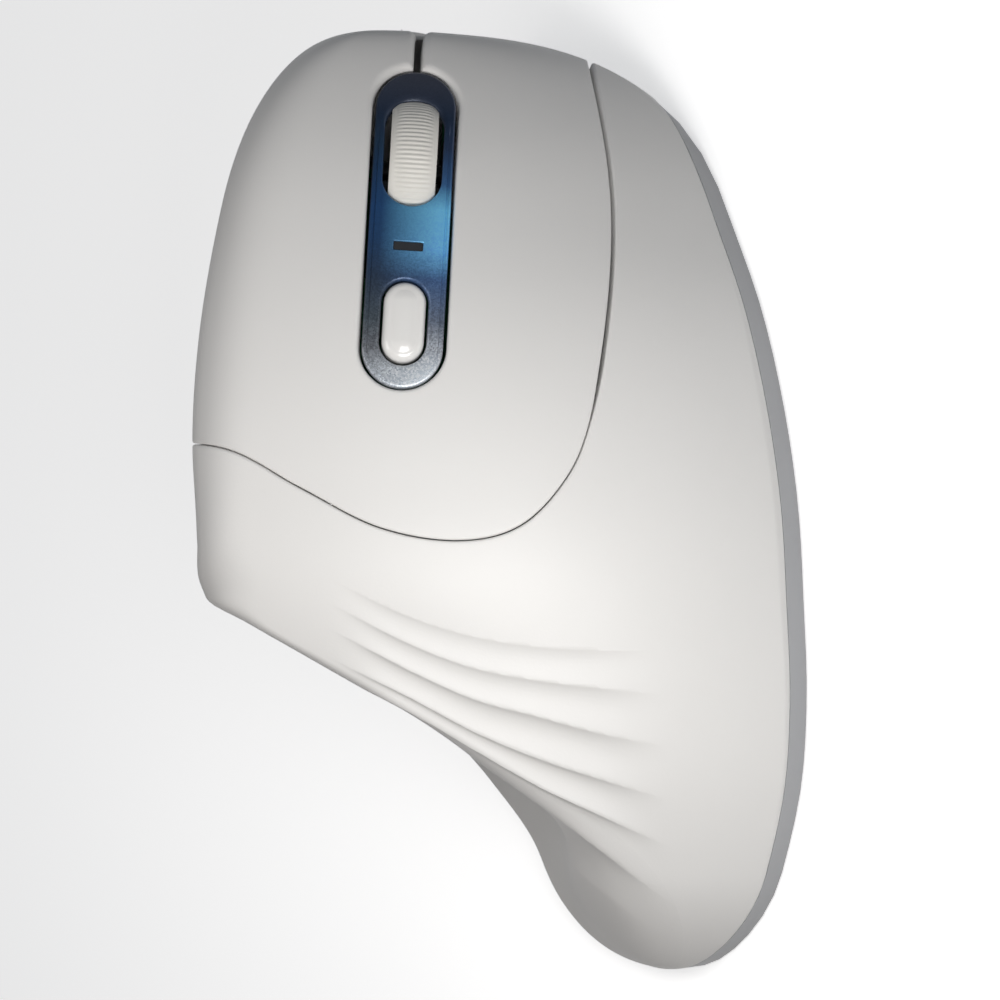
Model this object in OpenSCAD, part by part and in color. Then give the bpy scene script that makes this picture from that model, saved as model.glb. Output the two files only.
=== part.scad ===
// Right-hand vertical wireless mouse, in millimetres.
// X runs to the palm side, Y to the front and Z up, and the glide feet stand on z = 0.

/* [Body] */
// overall length from tail to nose
body_l = 123; // [122:0.5:126]
// overall width across the base
body_w = 74; // [73.5:0.5:76]
// height of the ridge above the desk
body_h = 60.6; // [60.2:0.2:62]
// wall of the moulded shells
wall = 2; // [1.8:0.1:2.1]
// height of the flat underside above the desk
base_z = 0.9; // [0.7:0.1:1]
// height of the line where bottom case and main shell meet
part_z = 4.8; // [4.6:0.1:5]

/* [Key panel] */
// gap along the seam between key panel and main shell
seam_gap = 0.5; // [0.4:0.05:0.6]
// gap in front of and below the keys, which is room for their travel
front_gap = 1.3; // [1.2:0.1:1.5]
// width of the slit between the two keys in front of the strip
slit_w = 1; // [0.8:0.1:1.2]
// gap between the keys and the panel behind them
bend_gap = 0.3; // [0.3:0.05:0.4]
// distance of the line on which the keys bend behind the middle of the strip
bend_y = 23.5; // [23:0.5:25]

/* [Centre strip] */
// width of the strip
strip_w = 10.3; // [10.2:0.1:10.8]
// length of the strip
strip_l = 42.6; // [42:0.2:43]
// thickness of the strip
strip_t = 1.2; // [1:0.1:1.3]
// depth of the strip below the skin around it
strip_sink = 0.3; // [0.2:0.05:0.4]
// gap between the strip and the keys
strip_gap = 0.45; // [0.4:0.05:0.6]

/* [Wheel] */
// diameter of the wheel
wheel_d = 19.5; // [19:0.1:20]
// width of the wheel
wheel_w = 6; // [5.6:0.2:6.2]
// height of the wheel above the strip
wheel_proud = 2.4; // [2.2:0.1:2.6]
// distance of the wheel in front of the middle of the strip
wheel_y = 9.7; // [9.6:0.1:9.9]
// length of the wheel slot
slot_l = 14.6; // [14.4:0.1:14.7]
// width of the wheel slot
slot_w = 7.6; // [7.4:0.1:7.8]
// diameter of the axle
axle_d = 2.5; // [2.2:0.1:2.8]
// gap between the wheel and the ends of its slot
slot_gap = 0.4; // [0.3:0.05:0.45]
// running clearance round the axle
axle_play = 0.05; // [0.03:0.01:0.08]
// travel of the wheel when it is pressed
wheel_travel = 0.5; // [0.4:0.05:0.5]

/* [Speed button] */
// length of the speed button
speed_l = 10.4; // [10:0.1:10.6]
// width of the speed button
speed_w = 5.4; // [5:0.1:5.6]
// gap round the speed button
speed_gap = 0.3; // [0.25:0.05:0.35]
// height of the speed button above the strip
speed_proud = 0.9; // [0.8:0.1:1.2]
// distance of the speed button behind the middle of the strip
speed_y = 13; // [12.8:0.1:13.2]
// travel of the speed button
speed_travel = 0.6; // [0.5:0.05:0.6]

/* [Indicator] */
// length of the indicator slot
lamp_l = 3.8; // [3.6:0.1:4]
// width of the indicator slot
lamp_w = 1.2; // [1:0.1:1.4]
// distance of the indicator behind the middle of the strip
lamp_y = 3; // [2.9:0.1:3.2]

/* [Thumb buttons] */
// length of each thumb button
thumb_l = 13; // [12:0.5:13.5]
// height of each thumb button
thumb_h = 7; // [6.5:0.1:7.5]
// gap between the two thumb buttons and round them
thumb_gap = 0.5; // [0.4:0.05:0.6]
// height of the thumb buttons above the shell
thumb_proud = 0.8; // [0.6:0.1:1]
// travel of a thumb button
thumb_travel = 0.7; // [0.6:0.05:0.7]
// place of the line between the thumb buttons
thumb_y = 0; // [-1:0.5:0.5]
// height of the middle of the thumb buttons above the desk
thumb_z = 35.5; // [35:0.1:35.8]

/* [Boards and switches] */
// thickness of the circuit boards
board_t = 1.6; // [1.4:0.1:1.6]
// depth of the button board below the skin at the strip
board_depth = 13; // [12.8:0.1:13.2]
// height of the key switches
key_switch_h = 6.5; // [6.2:0.1:6.7]
// height of the small push switches
push_switch_h = 3.1; // [2.9:0.1:3.2]
// gap between a button's post and what it presses
press_gap = 0.3; // [0.3:0.05:0.35]

/* [Battery] */
// diameter of the battery cell
cell_d = 14.5; // [14.2:0.1:14.6]
// length of the battery cell
cell_l = 50.5; // [50:0.1:50.8]
// gap round the battery door
door_gap = 0.3; // [0.3:0.05:0.4]
// thickness of the battery door
door_t = 1.8; // [1.6:0.1:1.8]

/* [Receiver] */
// length of the receiver
receiver_l = 18.5; // [18:0.1:18.8]
// width of the receiver body
receiver_w = 11.6; // [11:0.1:11.8]
// thickness of the receiver body
receiver_h = 5.4; // [5:0.1:5.6]
// gap round the receiver in its bay
receiver_gap = 0.3; // [0.3:0.05:0.4]

/* [Power slider] */
// length of the power slider's knob
slider_l = 5; // [4.6:0.1:5.4]
// width of the power slider's knob
slider_w = 3.6; // [3.2:0.1:4]
// travel of the power slider
slider_travel = 3; // [2.6:0.1:3.2]
// gap round the power slider
slider_gap = 0.3; // [0.3:0.05:0.4]

/* [Screws and feet] */
// diameter of the screw shanks
screw_d = 2; // [1.8:0.1:2.2]
// diameter of the screw heads
screw_head_d = 4.4; // [4:0.1:4.6]
// thickness of the screw heads
screw_head_t = 1.1; // [1:0.1:1.1]
// clearance round the screws
screw_gap = 0.2; // [0.15:0.05:0.25]
// width of the glide feet
foot_w = 6; // [5:0.5:6.5]

/* [Hidden] */
$fn = 40;

// The skin is drawn for a body of this length, width and height.
drawn = [74, 123, 60.6];
kx = body_w / drawn[0];
ky = body_l / drawn[1];
kz = body_h / drawn[2];

// Guide curves of the skin: place along the body, then the size there.
rim_x = [[-62, 27], [-54, 30.5], [-46, 33.5], [-37, 36], [-26, 37], [-13, 36.5], [0, 35.5], [13, 33],
  [26, 29], [38, 23.5], [60, 13.5]];
lip_x = [[-62, -3.2], [-54, -5.3], [-46, -9], [-38, -17.3], [-30, -27], [-22, -32.5], [-12, -36],
  [0, -37], [12, -35.5], [24, -32], [36, -28], [60, -22.5]];
rim_up = [[-62, 1], [38, 1], [46, 0.8], [54, 0.4], [60, 0.2]];
crest_x = [[-62, 7], [-50, 1.5], [-38, -5], [-24, -9.5], [-10, -10], [20, -10], [60, -9.5]];
crest_z = [[-62, 14], [-50, 27], [-38, 41], [-24, 54], [-10, 60.5], [4, 61], [20, 59.5],
  [38, 56], [60, 49.5]];
palm_share = [[-62, 0.46], [-52, 0.46], [-43, 0.51], [-35, 0.62], [-27, 0.74], [-20, 0.87], [-15, 0.967],
  [-13, 1], [-11, 1], [60, 1]];
palm_bulge = [[-62, 4], [-45, 5], [-30, 6], [-12, 7], [10, 6.5], [30, 6], [60, 5]];
ridge_w = [[-62, 13], [-50, 13], [-40, 9], [-28, 4.5], [-20, 3.5], [-15, 3.6], [-12, 8.2], [-5, 7.6],
  [6, 9], [60, 9]];
ridge_tilt = [[-62, 14], [-50, 18], [-40, 28], [-30, 34], [-20, 30], [-12, 16], [0, 11], [60, 10]];
thumb_lean = [[-62, 54], [-50, 48], [-40, 36], [-30, 22], [-22, 8], [-14, -3], [-6, -7], [20, -7], [60, -4]];
lip_slope = [[-62, 22], [-30, 18], [-12, 12], [10, 10], [30, 12], [60, 20]];

// The body closes to a tail point and a nose point over these stretches.
tail_y = -body_l / 2;
tail_start = -48 * ky;
tail_round = 2.2;
tail_x = 15.5;
nose_y = body_l / 2;
nose_start = 37 * ky;
nose_round = 3;
nose_mid = [-5, 36];
thumb_upper = 0.5;
thumb_lower = 0.36;
edge_soft = 0.46;
rim_in = 0.8;
crease_z = part_z + 0.3;
lip_in = 1;

// Steps along and round the skin.
palm_steps = 12;
corner_steps = 3;
thumb_steps = 12;
tail_steps = 7;
nose_steps = 8;
middle_steps = 24;

// A smooth curve through the knots of a guide.
function knot_before(k, x, i = 0) = (i >= len(k) - 2 || x <= k[i + 1][0]) ? i : knot_before(k, x, i + 1);
function rise(k, i) = (k[i + 1][1] - k[i][1]) / (k[i + 1][0] - k[i][0]);
function slope(k, i) =
  i == 0 ? rise(k, 0) :
  i == len(k) - 1 ? rise(k, i - 1) :
  let (h0 = k[i][0] - k[i - 1][0], h1 = k[i + 1][0] - k[i][0])
  (rise(k, i - 1) * h1 + rise(k, i) * h0) / (h0 + h1);
function along(k, x) =
  let (i = knot_before(k, x), h = k[i + 1][0] - k[i][0], t = (x - k[i][0]) / h)
  k[i][1] * (1 + 2 * t) * (1 - t) * (1 - t) + slope(k, i) * h * t * (1 - t) * (1 - t)
  + k[i + 1][1] * t * t * (3 - 2 * t) + slope(k, i + 1) * h * t * t * (t - 1);

// Normals and offsets in a cross-section, which runs from the right over the top to the left.
function unit(v) = v / norm(v);
function outward(v) = [v[1], -v[0]] / norm(v);
function corner_move(a, b, d) = -d * (a + b) / (1 + a * b);
function corner_cut(a, b, d) = d * abs(a[0] * b[1] - a[1] * b[0]) / (1 + a * b);
function bend2(a, b, c, t) = (1 - t) * (1 - t) * a + 2 * t * (1 - t) * b + t * t * c;
function bend3(a, b, c, d, t) =
  pow(1 - t, 3) * a + 3 * pow(1 - t, 2) * t * b + 3 * (1 - t) * t * t * c + t * t * t * d;

// The palm face is an arc from the rim towards the crest.
function rim_z(s) = base_z + (crease_z - base_z) * along(rim_up, s);
function rim_at(s) = [kx * along(rim_x, s), rim_z(s)];
function crest_at(s) = [kx * along(crest_x, s), kz * along(crest_z, s)];
function lip_at(s) = [kx * along(lip_x, s), rim_z(s)];
function palm_at(s, t, d = 0) =
  let (e = rim_at(s), q = crest_at(s), n = outward(q - e), b = along(palm_bulge, s))
  e + t * (q - e) + 4 * b * t * (1 - t) * n - d * outward(q - e + 4 * b * (1 - 2 * t) * n);
function palm_way(s, t) =
  let (e = rim_at(s), q = crest_at(s), b = along(palm_bulge, s))
  q - e + 4 * b * (1 - 2 * t) * outward(q - e);

// One cross-section at the place s of the drawn body, set in by d.
function section(s, d) =
  let (
    e = rim_at(s), l = lip_at(s), b = [e[0] - rim_in, base_z], bl = [l[0] + lip_in, base_z],
    c = norm(crest_at(s) - e), tk = along(palm_share, s), tilt = along(ridge_tilt, s), f = along(ridge_w, s),
    lean = along(thumb_lean, s), ls = along(lip_slope, s),
    k = palm_at(s, tk), way = [-cos(tilt), -sin(tilt)], t = k + f * way,
    n_rim = outward(e - b), n_palm = outward(palm_way(s, 0)), n_top = outward(palm_way(s, tk)),
    n_ridge = outward(way),
    n_thumb = outward([-sin(lean), -cos(lean)]),
    n_foot = outward([-cos(ls), -sin(ls)]),
    n_lip = outward(bl - l), n_base = [0, -1],
    k1 = k + corner_move(n_top, n_ridge, d), t1 = t + corner_move(n_ridge, n_thumb, d),
    low = base_z + d + 0.1, l0 = l + corner_move(n_foot, n_lip, d),
    l1 = l0 + max(0, low - l0[1]) / sin(ls) * [cos(ls), sin(ls)],
    b0 = b + corner_move(n_base, n_rim, d), bl0 = bl + corner_move(n_lip, n_base, d),
    f1 = max(0.5, (t1 - k1) * way), r = edge_soft * f1,
    t_rise = (low - palm_at(s, 0, d)[1]) / palm_way(s, 0)[1],
    t_low = max(t_rise, sign(d) * corner_cut(n_rim, n_palm, abs(d)) / c),
    b1 = [min(b0[0], palm_at(s, t_low, d)[0]), b0[1]], bl1 = [max(bl0[0], l1[0]), bl0[1]],
    t_high = tk - (r + sign(d) * corner_cut(n_top, n_ridge, abs(d))) / c,
    q = norm(t1 - l1),
    p1 = t1 + thumb_upper * q * [-sin(lean), -cos(lean)], p2 = l1 + thumb_lower * q * [cos(ls), sin(ls)],
    cut = r / (3 * thumb_upper * q),
    ridge_end = k1 + way * (f1 - r),
    thumb_start = bend3(t1, p1, p2, l1, cut))
  concat(
    [b1],
    [for (i = [0 : palm_steps - 1]) palm_at(s, t_low + (t_high - t_low) * i / palm_steps, d)],
    [for (i = [0 : corner_steps]) bend2(palm_at(s, t_high, d), k1, k1 + way * r, i / corner_steps)],
    [for (i = [0 : corner_steps - 1]) bend2(ridge_end, t1, thumb_start, i / corner_steps)],
    [for (i = [0 : thumb_steps]) bend3(t1, p1, p2, l1, cut + (1 - cut) * i / thumb_steps)],
    [bl1]);

// The section shrinks towards the nose point and the tail point.
function shrink(x, n) = pow(max(0, 1 - pow(max(0, x), n)), 1 / n);
function nose_scale(y, d) = shrink((y - nose_start) / (nose_y - d - nose_start), nose_round);
function tail_scale(y, d) = shrink((tail_start - y) / (tail_start - tail_y - d), tail_round);
function close_up(p, y, d) =
  let (
    a = nose_scale(y, d), b = tail_scale(y, d),
    u = nose_mid + (p - nose_mid) * a)
  [tail_x + (u[0] - tail_x) * b, y, b < 1 && u[1] > crease_z ? crease_z + (u[1] - crease_z) * b : u[1]];
function ring(y, d) = [for (p = section(y / ky, d)) close_up(p, y, d)];
function palm_point(y, t, d = 0) = close_up(palm_at(y / ky, t, d), y, d);

// The skin as a closed solid, set in by d.
function stations(d) = concat(
  [for (i = [1 : tail_steps]) tail_start - (tail_start - tail_y - d) * cos(90 * i / tail_steps)],
  [for (i = [1 : middle_steps]) tail_start + (nose_start - tail_start) * i / middle_steps],
  [for (i = [1 : nose_steps]) nose_start + (nose_y - d - nose_start) * sin(88 * i / nose_steps)]);
module skin(d = 0) {
  ys = stations(d);
  rings = [for (y = ys) ring(y, d)];
  n = len(rings[0]);
  m = len(rings);
  points = concat([for (r = rings) each r],
    [[tail_x, tail_y + d, crease_z], [nose_mid[0], nose_y - d, nose_mid[1]]]);
  walls = [for (j = [0 : m - 2], i = [0 : n - 1]) each [
    [j * n + i, j * n + (i + 1) % n, (j + 1) * n + (i + 1) % n],
    [j * n + i, (j + 1) * n + (i + 1) % n, (j + 1) * n + i]]];
  tail_fan = [for (i = [0 : n - 1]) [m * n, j_next(i, n), i]];
  nose_fan = [for (i = [0 : n - 1]) [m * n + 1, (m - 1) * n + i, (m - 1) * n + j_next(i, n)]];
  polyhedron(points, concat(walls, tail_fan, nose_fan), convexity = 8);
}
function j_next(i, n) = (i + 1) % n;
module hollow_skin() {
  difference() {
    skin(0);
    skin(wall);
  }
}

// The strip lies in its own frame: x across to the right, y to the front, z out of the skin.
strip_ends = [[14.4, 0.675], [35, 0.6725], [56, 0.6645]];
strip_rear = palm_point(strip_ends[0][0] * ky, strip_ends[0][1]);
strip_mid = palm_point(strip_ends[1][0] * ky, strip_ends[1][1]);
strip_front = palm_point(strip_ends[2][0] * ky, strip_ends[2][1]);
strip_a = unit(strip_front - strip_rear);
strip_step = 0.05;
strip_side = palm_point(strip_ends[1][0] * ky, strip_ends[1][1] - strip_step)
  - palm_point(strip_ends[1][0] * ky, strip_ends[1][1] + strip_step);
strip_b = unit(strip_side - strip_a * (strip_side * strip_a));
strip_n = cross(strip_b, strip_a);
strip_rise = (strip_mid - (strip_rear + strip_front) / 2) * strip_n;
strip_half = norm(strip_front - strip_rear) / 2;
strip_r = (strip_half * strip_half + strip_rise * strip_rise) / (2 * strip_rise);
strip_o = strip_mid - strip_a * ((strip_mid - (strip_rear + strip_front) / 2) * strip_a);
function strip_fall(y) = y * y / (2 * strip_r);
module on_strip() {
  multmatrix([
    [strip_b[0], strip_a[0], strip_n[0], strip_o[0]],
    [strip_b[1], strip_a[1], strip_n[1], strip_o[1]],
    [strip_b[2], strip_a[2], strip_n[2], strip_o[2]]]) children();
}

// The seam of the key panel, drawn looking square on to a palm face that leans half way over.
face_lean = 45;
seam_knots = [[-64, 8], [-50, 7], [-40, 2], [-30, -3], [-20, -4.7], [-12, -2.8], [-6, 3.5], [-3, 11],
  [-1, 22], [0, 34], [-0.5, 45], [-3, 60], [-5, 72]];
seam_corners = [[-70, 72], [-70, 8]];
seam_steps = 4;
panel_low = 12;
panel_tip = 13.5;
function glide(a, b, c, d, t) =
  0.5 * (2 * b + (c - a) * t + (2 * a - 5 * b + 4 * c - d) * t * t + (3 * b - a - 3 * c + d) * t * t * t);
function through(k) = [for (i = [0 : len(k) - 2], j = [0 : seam_steps - 1])
  glide(k[max(0, i - 1)], k[i], k[i + 1], k[min(len(k) - 1, i + 2)], j / seam_steps)];
// The seam keeps its distance from the strip when the body gets longer.
panel_shift = (ky - 1) * strip_ends[1][0];
module panel_outline(grow) {
  offset(delta = grow) translate([0, panel_shift])
    polygon(concat(through(seam_knots), [seam_knots[len(seam_knots) - 1]], seam_corners));
}
module panel_block(side, low) {
  intersection() {
    rotate([0, face_lean, 0]) linear_extrude(90) panel_outline(side);
    rotate([0, face_lean + panel_tip, 0]) translate([-150, -150, panel_low - low]) cube([300, 300, 120]);
  }
}

// Places that several pieces share.
cell_x = 17.2;
cell_gap = 0.3;
floor_z = base_z + wall;
cell_z = floor_z + cell_gap + cell_d / 2;
cell_y = -34;
bay_x = [9.2, 25.2];
bay_y = [-37.6, 20];
bay_wall = 1.2;
bay_top = cell_z - 1.5;
board_x = [-15.5, 5.5];
board_y = [-13.5, 10.5];
main_board_z = floor_z + 2.1;
sensor_at = [-3, -1];
chip_l = 9;
chip_w = 7;
chip_h = 2.4;
lens_l = 8;
lens_w = 6;
receiver_x = 0.4;
receiver_y = -27.6;
slider_at = [-12, -6];
case_screw_at = [[29.4, -16], [20.5, 27], [-21.5, -9], [-15.5, 28]];
board_post_at = [[-13.5, 8.5], [3.5, 8.5], [3.5, -11.5]];
foot_at = [[3, 36, 24, 90], [16, -52, 14, 90], [-26, 8, 24, 0]];
frame_feet = [[3.4, 17.5], [-8.5, 18], [2.5, 34.5]];
plate_t = 2;
plate_z = -board_depth - board_t;
axle_z = wheel_proud - strip_sink - strip_fall(wheel_y) - wheel_d / 2;
cheek_in = slot_w / 2;
cheek_t = 1.4;
cheek_low = -board_depth + wheel_travel + 0.3;
encoder_t = 3.5;
switch_l = 12.8;
switch_w = 5.8;
switch_back = 9.4;
left_switch_x = -9;
right_switch_x = 12.5;
plunger_y = 3;
plunger_d = 2;
plunger_up = 0.6;
plunger_in = 1;
plunger_gap = 0.3;
post_low = -board_depth + key_switch_h + plunger_up;
push_w = 4.5;
bridge_post_at = [[-7.5, -28], [9.5, -28]];
plate_hole_at = [[-8, -14], [14, -14], [14, 12]];
white = [0.9, 0.89, 0.88];
grey = [0.75, 0.76, 0.78];
dark = [0.16, 0.17, 0.19];
board_green = [0.1, 0.36, 0.2];
steel = [0.75, 0.76, 0.78];

root = 0.2;
post_d = 4;
function grown(span, by) = [span[0] - by, span[1] + by];
module box(x, y, z) {
  translate([x[0], y[0], z[0]]) cube([x[1] - x[0], y[1] - y[0], z[1] - z[0]]);
}
module pill(l, w, h) {
  linear_extrude(h) pill_flat(l, w);
}
module pill_flat(l, w) {
  translate([0, (l - w) / 2]) circle(d = w);
  translate([0, (w - l) / 2]) circle(d = w);
  square([w, l - w], center = true);
}

// A stiffening rib as a chain of short bars along the inside of the skin.
rib_w = 1.4;
module rib_link(a, b) {
  hull() {
    translate(a) cube(rib_w, center = true);
    translate(b) cube(rib_w, center = true);
  }
}
module rib_round(y, t0, t1, n) {
  for (i = [0 : n - 1]) {
    rib_link(palm_point(y, t0 + (t1 - t0) * i / n, wall), palm_point(y, t0 + (t1 - t0) * (i + 1) / n, wall));
  }
}
module rib_long(t, y0, y1, n) {
  for (i = [0 : n - 1]) {
    rib_link(palm_point(y0 + (y1 - y0) * i / n, t, wall), palm_point(y0 + (y1 - y0) * (i + 1) / n, t, wall));
  }
}

// Thumb buttons are drawn in the side view, one on each side of a line.
thumb_up = thumb_z * kz;
function thumb_mid(way) = thumb_y * ky + way * (thumb_l + thumb_gap) / 2;
module thumb_block(way, grow) {
  l = thumb_l + 2 * grow;
  h = thumb_h + 2 * grow;
  translate([-60, thumb_mid(way), thumb_up]) rotate([0, 90, 0])
    linear_extrude(60) hull() {
      for (i = [-1, 1]) translate([0, i * (l - h) / 2]) circle(d = h);
    }
}

module bottom_case() {
  color(grey) difference() {
    union() {
      intersection() {
        hollow_skin();
        box([-60, 60], [-80, 80], [-1, part_z]);
      }
      for (i = [0 : 9]) {
        lip_post(-44 + 8 * i);
      }
      box(grown(bay_x, bay_wall), grown(bay_y, bay_wall), [floor_z - root, bay_top]);
      for (p = board_post_at) translate([p[0], p[1], floor_z - root])
        cylinder(d = post_d, h = main_board_z - floor_z + root);
      receiver_block(bay_wall, floor_z - root, floor_z + 2.8);
    }
    box(bay_x, bay_y, [-1, bay_top + 1]);
    receiver_block(0, -1, floor_z + 4);
    translate([slider_at[0], slider_at[1], 0])
      cube([slider_w + 2 * slider_gap, slider_l + slider_travel + 2 * slider_gap, 12], center = true);
    translate([sensor_at[0], sensor_at[1], 0]) cube([lens_w + 2, lens_l + 2, 12], center = true);
    for (p = case_screw_at) translate([p[0], p[1], -1]) {
      cylinder(d = screw_d + 2 * screw_gap, h = 12);
      cylinder(d = screw_head_d + 2 * screw_gap, h = 1 + base_z + screw_head_t);
    }
    for (p = board_post_at) translate([p[0], p[1], base_z + 0.8])
      cylinder(d = screw_d + 2 * screw_gap, h = 12);
  }
}
// The locating lip stands inside the shell on the palm side.
lip_gap = 1.6;
lip_t = 1;
lip_up = 1;
module lip_post(y) {
  hull() {
    for (i = [0, 8]) {
      translate([rim_at(y + i)[0] - wall - lip_gap, (y + i) * ky, floor_z - root])
        cylinder(d = lip_t, h = part_z - floor_z + root + lip_up, $fn = 6);
    }
  }
}
// The bay that holds the receiver, grown by its wall.
module receiver_block(grow, low, top) {
  w = receiver_w / 2 + receiver_gap + grow;
  l = receiver_l / 2 + receiver_gap + grow;
  box([receiver_x - w, receiver_x + w], [receiver_y - l, receiver_y + l], [low, top]);
}

boss_d = 5.6;
case_screw_l = 9;
module main_shell() {
  color(white) difference() {
    union() {
      intersection() {
        hollow_skin();
        box([-60, 60], [-80, 80], [part_z, 90]);
      }
      rib_round(-34, 0.12, 0.52, 8);
      rib_round(-22, 0.12, 0.7, 8);
      intersection() {
        skin(wall / 2);
        for (p = case_screw_at) translate([p[0], p[1], floor_z]) cylinder(d = boss_d, h = body_h, $fn = 24);
      }
    }
    panel_block(seam_gap / 2, front_gap);
    for (i = [-1, 1]) thumb_block(i, thumb_gap);
    for (p = case_screw_at) translate([p[0], p[1], 0])
      cylinder(d = screw_d + 2 * screw_gap, h = base_z + case_screw_l + 1.1, $fn = 24);
  }
}

// The panel that both keys are cut from.
module panel_skin() {
  intersection() {
    hollow_skin();
    panel_block(-seam_gap / 2, 0);
  }
}
module strip_pocket() {
  on_strip() translate([0, 0, -12]) {
    pill(strip_l + 2 * strip_gap, strip_w + 2 * strip_gap, 30);
    translate([-slit_w / 2, 0, -40]) cube([slit_w, 60, 70]);
  }
}
module key_block(way) {
  on_strip() translate([way < 0 ? -60 : 0, -bend_y + bend_gap / 2, -40]) cube([60, 100, 70]);
}
bridge_post_d = 5;
bridge_rib_y = 1;
panel_screw_l = 8;
module button_bridge() {
  color(white) union() {
    difference() {
      panel_skin();
      on_strip() translate([-60, -bend_y - bend_gap / 2, -40]) cube([120, 100, 70]);
    }
    rib_round(bridge_rib_y + panel_shift, 0.45, 0.68, 8);
    difference() {
      intersection() {
        skin(wall / 2);
        on_strip() for (p = bridge_post_at) translate([p[0], p[1], plate_z])
          cylinder(d = bridge_post_d, h = 30, $fn = 24);
      }
      on_strip() for (p = bridge_post_at) translate([p[0], p[1], plate_z - 1])
        cylinder(d = screw_d + 2 * screw_gap, h = panel_screw_l, $fn = 24);
    }
  }
}
module key(way, post_x, rib_t) {
  difference() {
    intersection() {
      panel_skin();
      key_block(way);
    }
    strip_pocket();
  }
  rib_long(rib_t, 22 * ky, 50 * ky, 8);
  intersection() {
    skin(wall / 2);
    on_strip() translate([post_x, plunger_y, post_low]) cylinder(d = 3, h = 30, $fn = 16);
  }
}
module left_button() {
  color(white) union() key(-1, left_switch_x, 0.85);
}
module right_button() {
  color(white) union() key(1, right_switch_x, 0.47);
}

// The strip is a plate bent to the fall of the skin.
module strip_bend(top, low) {
  rotate([0, 90, 0]) translate([strip_r, 0, -30]) difference() {
    cylinder(r = strip_r - top, h = 60, $fn = 200);
    translate([0, 0, -1]) cylinder(r = strip_r - low, h = 62, $fn = 200);
  }
}
module centre_trim() {
  color(grey) on_strip() {
    difference() {
      intersection() {
        strip_bend(strip_sink, strip_sink + strip_t);
        translate([0, 0, -10]) linear_extrude(20) difference() {
          pill_flat(strip_l, strip_w);
          translate([0, wheel_y]) pill_flat(slot_l, slot_w);
          translate([-lamp_l / 2, -lamp_y - lamp_w / 2]) square([lamp_l, lamp_w]);
        }
      }
      on_speed() translate([0, 0, -10]) pill(speed_l + 2 * speed_gap, speed_w + 2 * speed_gap, 20);
      translate([-slot_w / 2, wheel_y, axle_z]) rotate([0, 90, 0])
        cylinder(d = wheel_d + 2 * slot_gap, h = slot_w, $fn = 96);
    }
    for (i = [-1, 1]) trim_leg([4.5 * i, -6.2], [1, 2]);
    trim_leg([0, -19.9], [4, 1]);
    trim_leg([4.2, 17.6], [0.8, 2]);
  }
}
// The speed button leans with the strip where it sits.
speed_lean = asin(speed_y / strip_r);
module on_speed() {
  translate([0, -speed_y, -strip_fall(speed_y)]) rotate([speed_lean, 0, 0]) children();
}
module trim_leg(at, size) {
  up = board_depth - strip_sink - strip_t / 2 - strip_fall(at[1]);
  translate([at[0] - size[0] / 2, at[1] - size[1] / 2, -board_depth]) cube([size[0], size[1], up]);
}
led_h = 1.6;
lens_play = 0.05;
module indicator_lens() {
  lens_top = strip_sink + 0.2;
  color(dark) on_strip() {
    translate([-lamp_l / 2 + lens_play, -lamp_y - lamp_w / 2 + lens_play, -3])
      cube([lamp_l - 2 * lens_play, lamp_w - 2 * lens_play, 3 - lens_top]);
    hull() {
      translate([-1.8, -lamp_y - 0.55, -3.4]) cube([3.6, 1.1, 0.4]);
      translate([-1.2, -6.2, -board_depth + led_h]) cube([2.4, 1.2, 0.3]);
    }
  }
}
module indicator_led() {
  color([0.95, 0.9, 0.6]) on_strip() translate([-1.6, -6.5, -board_depth]) cube([3.2, 1.8, led_h]);
}

crown_t = 0.6;
crown_in = 0.8;
module speed_button() {
  flange_z = -strip_sink - strip_t - 0.6;
  stem_z = -board_depth + push_switch_h + press_gap + speed_travel + strip_fall(speed_y);
  top_z = -strip_sink + speed_proud;
  color(white) on_strip() on_speed() {
    translate([0, 0, flange_z - root]) pill(speed_l, speed_w, top_z - crown_t - flange_z + root);
    translate([0, 0, top_z - crown_t - root]) pill(speed_l - crown_in, speed_w - crown_in, crown_t + root);
    translate([0, 0, flange_z - 0.8]) pill(speed_l + 1, speed_w + 1, 0.8);
    translate([0, 0, stem_z]) cylinder(d = 2.6, h = flange_z - stem_z);
  }
}
module push_switch(at, up) {
  translate([at[0] - push_w / 2, at[1] - push_w / 2, up]) cube([push_w, push_w, push_switch_h - 0.8]);
  translate([at[0], at[1], up]) cylinder(d = 2.4, h = push_switch_h);
}
module speed_switch() {
  color(dark) on_strip() push_switch([0, -speed_y + 0.7], -board_depth);
}

module wheel_tyre() {
  color(white) on_strip() translate([0, wheel_y, axle_z]) rotate([0, 90, 0])
    rotate_extrude($fn = 96) tyre_flat();
}
tyre_t = 2.5;
module tyre_flat() {
  r = wheel_d / 2;
  w = wheel_w / 2;
  polygon([[r - tyre_t, -w], [r - 0.9, -w], [r - 0.25, -w + 0.5], [r, -w + 1.5],
    [r, w - 1.5], [r - 0.25, w - 0.5], [r - 0.9, w], [r - tyre_t, w]]);
}
module wheel_hub() {
  reach = cheek_in + cheek_t + encoder_t;
  color(dark) on_strip() translate([0, wheel_y, axle_z]) rotate([0, 90, 0]) {
    translate([0, 0, -wheel_w / 2]) cylinder(r = wheel_d / 2 - tyre_t, h = wheel_w, $fn = 96);
    translate([0, 0, -cheek_in - cheek_t]) cylinder(d = axle_d, h = reach + cheek_in + cheek_t);
  }
}
module axle_bore() {
  translate([-30, wheel_y, axle_z]) rotate([0, 90, 0]) cylinder(d = axle_d + 2 * axle_play, h = 60);
}
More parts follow.
